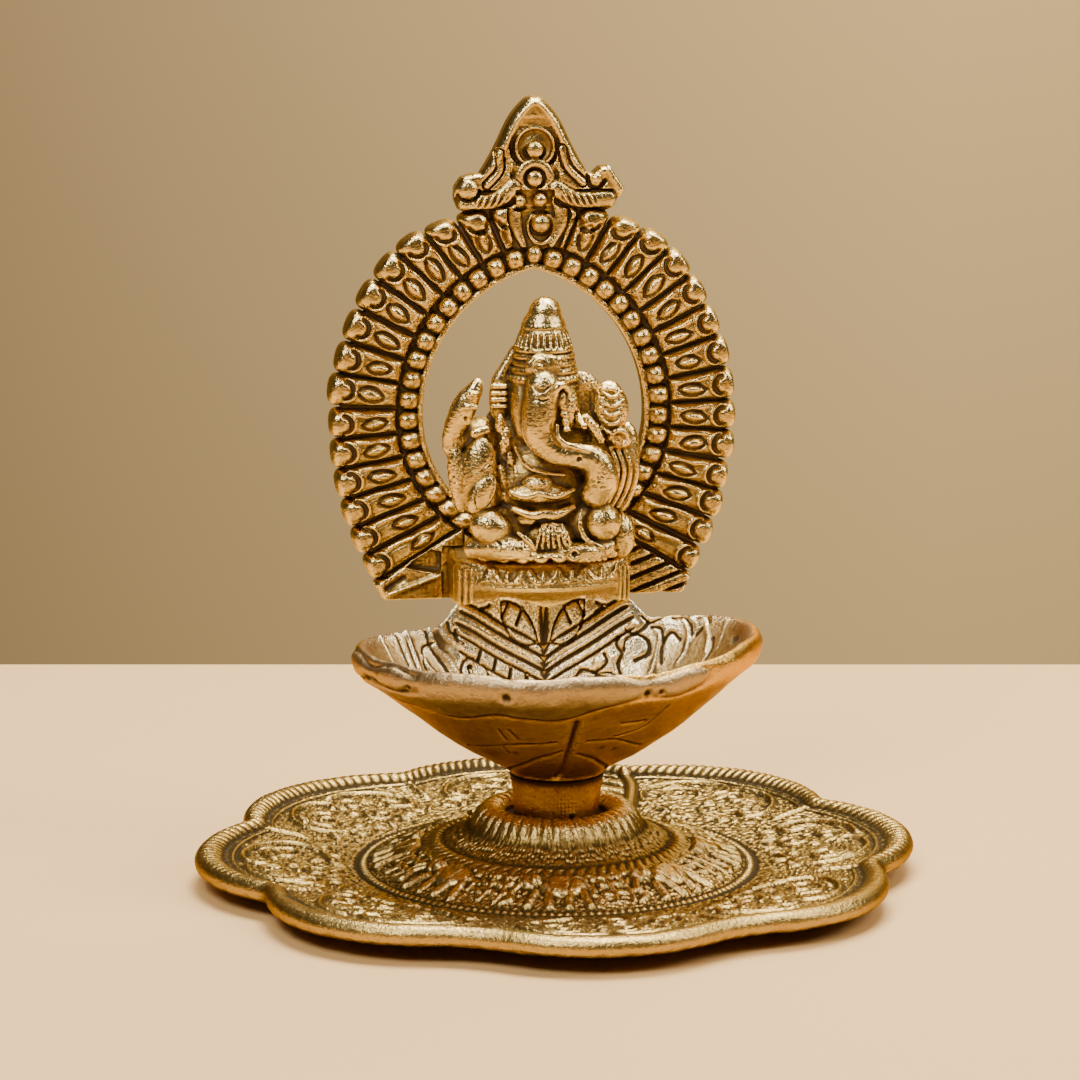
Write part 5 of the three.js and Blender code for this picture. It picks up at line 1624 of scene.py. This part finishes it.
def blend_node(tree, share, first, second):
    """One colour over another, as much of it as share says."""
    node = tree.nodes.new("ShaderNodeMix")
    node.data_type = "RGBA"
    tree.links.new(share, node.inputs[0])
    tree.links.new(first, node.inputs[6])
    tree.links.new(second, node.inputs[7])
    return node.outputs[2]


def point_value(tree, name):
    node = tree.nodes.new("ShaderNodeAttribute")
    node.attribute_name = name
    return node.outputs["Fac"]


def centred(tree, value, amount):
    """Noise about nought instead of about a half."""
    return math_node(tree, "MULTIPLY", math_node(tree, "SUBTRACT", value, 0.5), amount)


# painted shade and highlight on reflections: edge colour dimmed in recesses and raised on crests
EDGE_REFLECTION_SHADE_SHARES = ((0.22, 0.25), (0.42, 0.85), (0.66, 1.35))   # of the edge colour, by cavity value


def cast_metal(name, finish, grain, edge_tint, overlays=()):
    """Plated cast metal: colour and gloss follow the cavity value, broken up by noise at three sizes; the
    colour is dark patina and painted shade in recesses and a painted highlight on crests.

    finish is (colour stops, crest roughness, recess roughness, stain). edge_tint is the colour that edges
    reflect at a flat angle, dimmed in recesses as painted shade and raised on crests as painted highlight.
    overlays is [(value name, finish)]: other finishes laid over the first where that value is 1.
    """
    material = bpy.data.materials.new(name)
    material.use_nodes = True
    tree = material.node_tree
    shader = tree.nodes["Principled BSDF"]
    here = tree.nodes.new("ShaderNodeTexCoord").outputs["Object"]
    cavity = point_value(tree, "cavity")
    blotch = noise_node(tree, here, 110.0, 5.0, 0.6).outputs["Fac"]
    speckle = noise_node(tree, here, 1300.0, 3.0, 0.65).outputs["Fac"]
    cloud = noise_node(tree, here, 26.0, 3.0, 0.5).outputs["Fac"]

    def layer(stops, crest, recess, stain):
        """The stained cavity value of one finish, and its colour and gloss there."""
        level = cavity
        for noise, amount in ((blotch, stain), (speckle, 2.3 * stain), (cloud, 0.9 * stain)):
            level = math_node(tree, "ADD", level, centred(tree, noise, amount))
        shade = ramp_node(tree, level, stops).outputs["Color"]
        sheen = ramp_node(tree, level, [(0.20, (recess,) * 3), (0.62, (crest,) * 3)]).outputs["Color"]
        return level, shade, sheen

    level, colour, gloss = layer(*finish)
    edge_stops = [(place, tuple(min(share * c, 1.0) for c in edge_tint)) for place, share in EDGE_REFLECTION_SHADE_SHARES]
    edge = ramp_node(tree, level, edge_stops).outputs["Color"]
    tree.links.new(edge, shader.inputs["Specular Tint"])
    for value_name, over in overlays:
        _, shade, sheen = layer(*over)
        share = point_value(tree, value_name)
        colour = blend_node(tree, share, colour, shade)
        gloss = blend_node(tree, share, gloss, sheen)
    tree.links.new(colour, shader.inputs["Base Color"])
    tree.links.new(math_node(tree, "ADD", gloss, centred(tree, speckle, 0.25)), shader.inputs["Roughness"])
    metal = ramp_node(tree, level, [(0.08, (0.45,) * 3), (0.34, (1.0,) * 3)])
    tree.links.new(metal.outputs["Color"], shader.inputs["Metallic"])

    pits = noise_node(tree, here, 1500.0, 2.0, 0.7).outputs["Fac"]
    rough = math_node(tree, "ADD", math_node(tree, "MULTIPLY", speckle, 1.4), pits)
    bump = tree.nodes.new("ShaderNodeBump")
    bump.inputs["Strength"].default_value = grain
    bump.inputs["Distance"].default_value = 0.0002
    tree.links.new(rough, bump.inputs["Height"])
    tree.links.new(bump.outputs["Normal"], shader.inputs["Normal"])
    return material


def finish_of(dark, deep, middle, light, crest, recess, stain, levels=(0.06, 0.26, 0.44, 0.70)):
    """Stops of an aged finish from its four colours, at the cavity values in levels: dark patina and painted
    shade in recesses, up to a painted highlight on crests.
    """
    return list(zip(levels, (dark, deep, middle, light))), crest, recess, stain


PALE_BRASS = finish_of((0.040, 0.025, 0.008), (0.11, 0.066, 0.017), (0.25, 0.160, 0.041),
                       (0.44, 0.300, 0.094), 0.31, 0.62, 0.19)
# brighter warm brass: over the hub all round, and as painted light on the front of the frieze ring
WARM_BRASS_AND_PAINTED_LIGHT = finish_of((0.070, 0.036, 0.010), (0.25, 0.135, 0.032), (0.52, 0.325, 0.090), (0.78, 0.56, 0.21),
                       0.28, 0.60, 0.19)
ANTIQUE_GOLD = finish_of((0.110, 0.078, 0.042), (0.19, 0.124, 0.048), (0.47, 0.315, 0.090),
                         (0.87, 0.66, 0.28), 0.21, 0.58, 0.26, (0.06, 0.26, 0.48, 0.84))
AMBER = finish_of((0.060, 0.026, 0.007), (0.24, 0.102, 0.016), (0.47, 0.245, 0.044), (0.64, 0.375, 0.085),
                  0.30, 0.55, 0.19)
# bowl's inside: dark in its grooves, and paler, creamier metal than the underside as painted light from the
# lamp above
PATTERNED_PAINTED_LIGHT = finish_of((0.070, 0.048, 0.025), (0.15, 0.084, 0.026), (0.57, 0.41, 0.17), (0.92, 0.77, 0.48),
                      0.26, 0.60, 0.17)
WORN = finish_of((0.045, 0.030, 0.013), (0.23, 0.145, 0.060), (0.31, 0.205, 0.090), (0.43, 0.300, 0.150),
                 0.40, 0.60, 0.28)
ZINC_STEEL = finish_of((0.10, 0.10, 0.10), (0.30, 0.30, 0.31), (0.52, 0.53, 0.54), (0.66, 0.67, 0.68),
                       0.28, 0.45, 0.05)


# finish, strength of the grain, colour of reflecting edges, finishes laid over
METALS = {
    "pale_brass": (PALE_BRASS, 0.65, (0.30, 0.218, 0.080), (("warm_tone_and_painted_light", WARM_BRASS_AND_PAINTED_LIGHT),)),
    "antique_gold": (ANTIQUE_GOLD, 0.55, (0.85, 0.66, 0.32)),
    "satin_amber": (AMBER, 0.6, (0.70, 0.48, 0.18), (("inside", PATTERNED_PAINTED_LIGHT), ("worn", WORN))),
    "zinc_steel": (ZINC_STEEL, 0.12, (1.0, 1.0, 1.0)),
}


# ------------------------------------------------------------------ stage

CAMERA_DISTANCE = 0.750
CAMERA_ELEVATION = radians(10.5)
CAMERA_AZIMUTH = radians(-8.5)
CAMERA_AIM = Vector((-0.003165, 0.000473, 0.0658))
CAMERA_LENS = 131.0
TABLE_BACK = 0.190
TABLE_SIZE = 3.0
TABLE_EDGE = 0.03
WALL_AT = 1.35
WALL_HALF_WIDTH = 5.0
WALL_BOTTOM, WALL_TOP = -1.2, 1.8
# painted light on the wall: a colour gradient, darker on the left and lighter on the right
WALL_PAINTED_LIGHT_CHANGE = 1.6           # share of the change of colour in one metre
WALL_PAINTED_LIGHT_SHIFT = 0.35           # share of it reached at the middle
TABLE_TOP = (0.80, 0.500, 0.205)
# wall colours: painted shade on the left, painted light on the right
WALL_LEFT_PAINTED_SHADE = (0.47, 0.31, 0.137)
WALL_RIGHT_PAINTED_LIGHT = (1.0, 0.69, 0.285)
ROOM_COLOUR = (0.78, 0.66, 0.50)
ROOM_STRENGTH = 0.11
LAMP_MIDDLE = (0, 0, 0.07)


def stage():
    """Pale table top, and a wall well behind it whose paint brightens to the right as painted light, both
    square to the view.
    """
    ahead = Vector((-sin(CAMERA_AZIMUTH), cos(CAMERA_AZIMUTH), 0))
    across = Vector((cos(CAMERA_AZIMUTH), sin(CAMERA_AZIMUTH), 0))
    near, far, side = ahead * -TABLE_SIZE, ahead * TABLE_BACK, across * TABLE_SIZE
    drop = Vector((0, 0, -TABLE_EDGE))
    table_points = [near - side, near + side, far + side, far - side, far - side + drop, far + side + drop]
    wall_points = [ahead * WALL_AT + across * way * WALL_HALF_WIDTH + Vector((0, 0, level))
                   for way, level in ((-1, WALL_BOTTOM), (1, WALL_BOTTOM), (1, WALL_TOP), (-1, WALL_TOP))]
    for name, points, faces, left, right in (
            ("table", table_points, [(0, 1, 2, 3), (3, 2, 5, 4)], TABLE_TOP, TABLE_TOP),
            ("backdrop", wall_points, [(0, 1, 2, 3)], WALL_LEFT_PAINTED_SHADE, WALL_RIGHT_PAINTED_LIGHT)):
        mesh = bpy.data.meshes.new(name)
        mesh.from_pydata([tuple(p) for p in points], [], faces)
        piece = bpy.data.objects.new(name, mesh)
        piece.data.materials.append(plain_material(name, left, right))
        bpy.context.scene.collection.objects.link(piece)


def plain_material(name, left, right):
    """Matt paint that goes slowly from one colour on the left to another on the right; on the wall this is
    painted light, darker on the left and lighter on the right.
    """
    material = bpy.data.materials.new(name)
    material.use_nodes = True
    tree = material.node_tree
    shader = tree.nodes["Principled BSDF"]
    shader.inputs["Roughness"].default_value = 0.55
    shader.inputs["Base Color"].default_value = (*left, 1)
    if left != right:
        place = tree.nodes.new("ShaderNodeTexCoord")
        split = tree.nodes.new("ShaderNodeSeparateXYZ")
        tree.links.new(place.outputs["Object"], split.inputs[0])
        share = math_node(tree, "MULTIPLY_ADD", split.outputs[0], WALL_PAINTED_LIGHT_CHANGE, WALL_PAINTED_LIGHT_SHIFT)
        paint = ramp_node(tree, share, [(0.0, left), (1.0, right)])
        tree.links.new(paint.outputs["Color"], shader.inputs["Base Color"])
    return material


def area_light(name, place, aim, size, power, colour):
    light = bpy.data.lights.new(name, "AREA")
    light.shape = "RECTANGLE"
    light.size, light.size_y = size
    light.energy = power
    light.color = colour
    lamp = bpy.data.objects.new(name, light)
    lamp.location = place
    lamp.rotation_euler = (Vector(aim) - Vector(place)).to_track_quat("-Z", "Y").to_euler()
    bpy.context.scene.collection.objects.link(lamp)


def lights():
    """Three soft lamps on the object, one on the wall, and a weak even light from the room."""
    area_light("overhead", (0.10, 0.16, 0.82), LAMP_MIDDLE, (0.55, 0.40), 16.0, (1.0, 0.97, 0.92))
    area_light("front_left", (-0.45, -0.55, 0.85), LAMP_MIDDLE, (0.42, 0.42), 9.0, (1.0, 0.96, 0.90))
    area_light("right", (0.75, -0.25, 0.70), LAMP_MIDDLE, (0.25, 0.50), 6.0, (1.0, 0.93, 0.82))
    area_light("wall_wash", (0.5, 0.9, 0.9), (0.25, 1.35, 0.2), (0.6, 0.6), 8.0, (1.0, 0.95, 0.88))
    world = bpy.data.worlds.new("studio")
    world.use_nodes = True
    background = world.node_tree.nodes["Background"]
    background.inputs["Color"].default_value = (*ROOM_COLOUR, 1)
    background.inputs["Strength"].default_value = ROOM_STRENGTH
    bpy.context.scene.world = world


def camera():
    """In front of the lamp, a little to its left and above, as wide as the whole lamp."""
    view = bpy.data.cameras.new("camera")
    view.sensor_width = 36.0
    view.lens = CAMERA_LENS
    eye = bpy.data.objects.new("camera", view)
    away = Vector((sin(CAMERA_AZIMUTH) * cos(CAMERA_ELEVATION), -cos(CAMERA_AZIMUTH) * cos(CAMERA_ELEVATION),
                   sin(CAMERA_ELEVATION)))
    eye.location = CAMERA_AIM + away * CAMERA_DISTANCE
    eye.rotation_euler = (-away).to_track_quat("-Z", "Y").to_euler()
    bpy.context.scene.collection.objects.link(eye)
    bpy.context.scene.camera = eye


camera()
lights()
stage()
arch()
figure()
seat()
bowl()
lug()
stem()
fasteners()
base_plate()
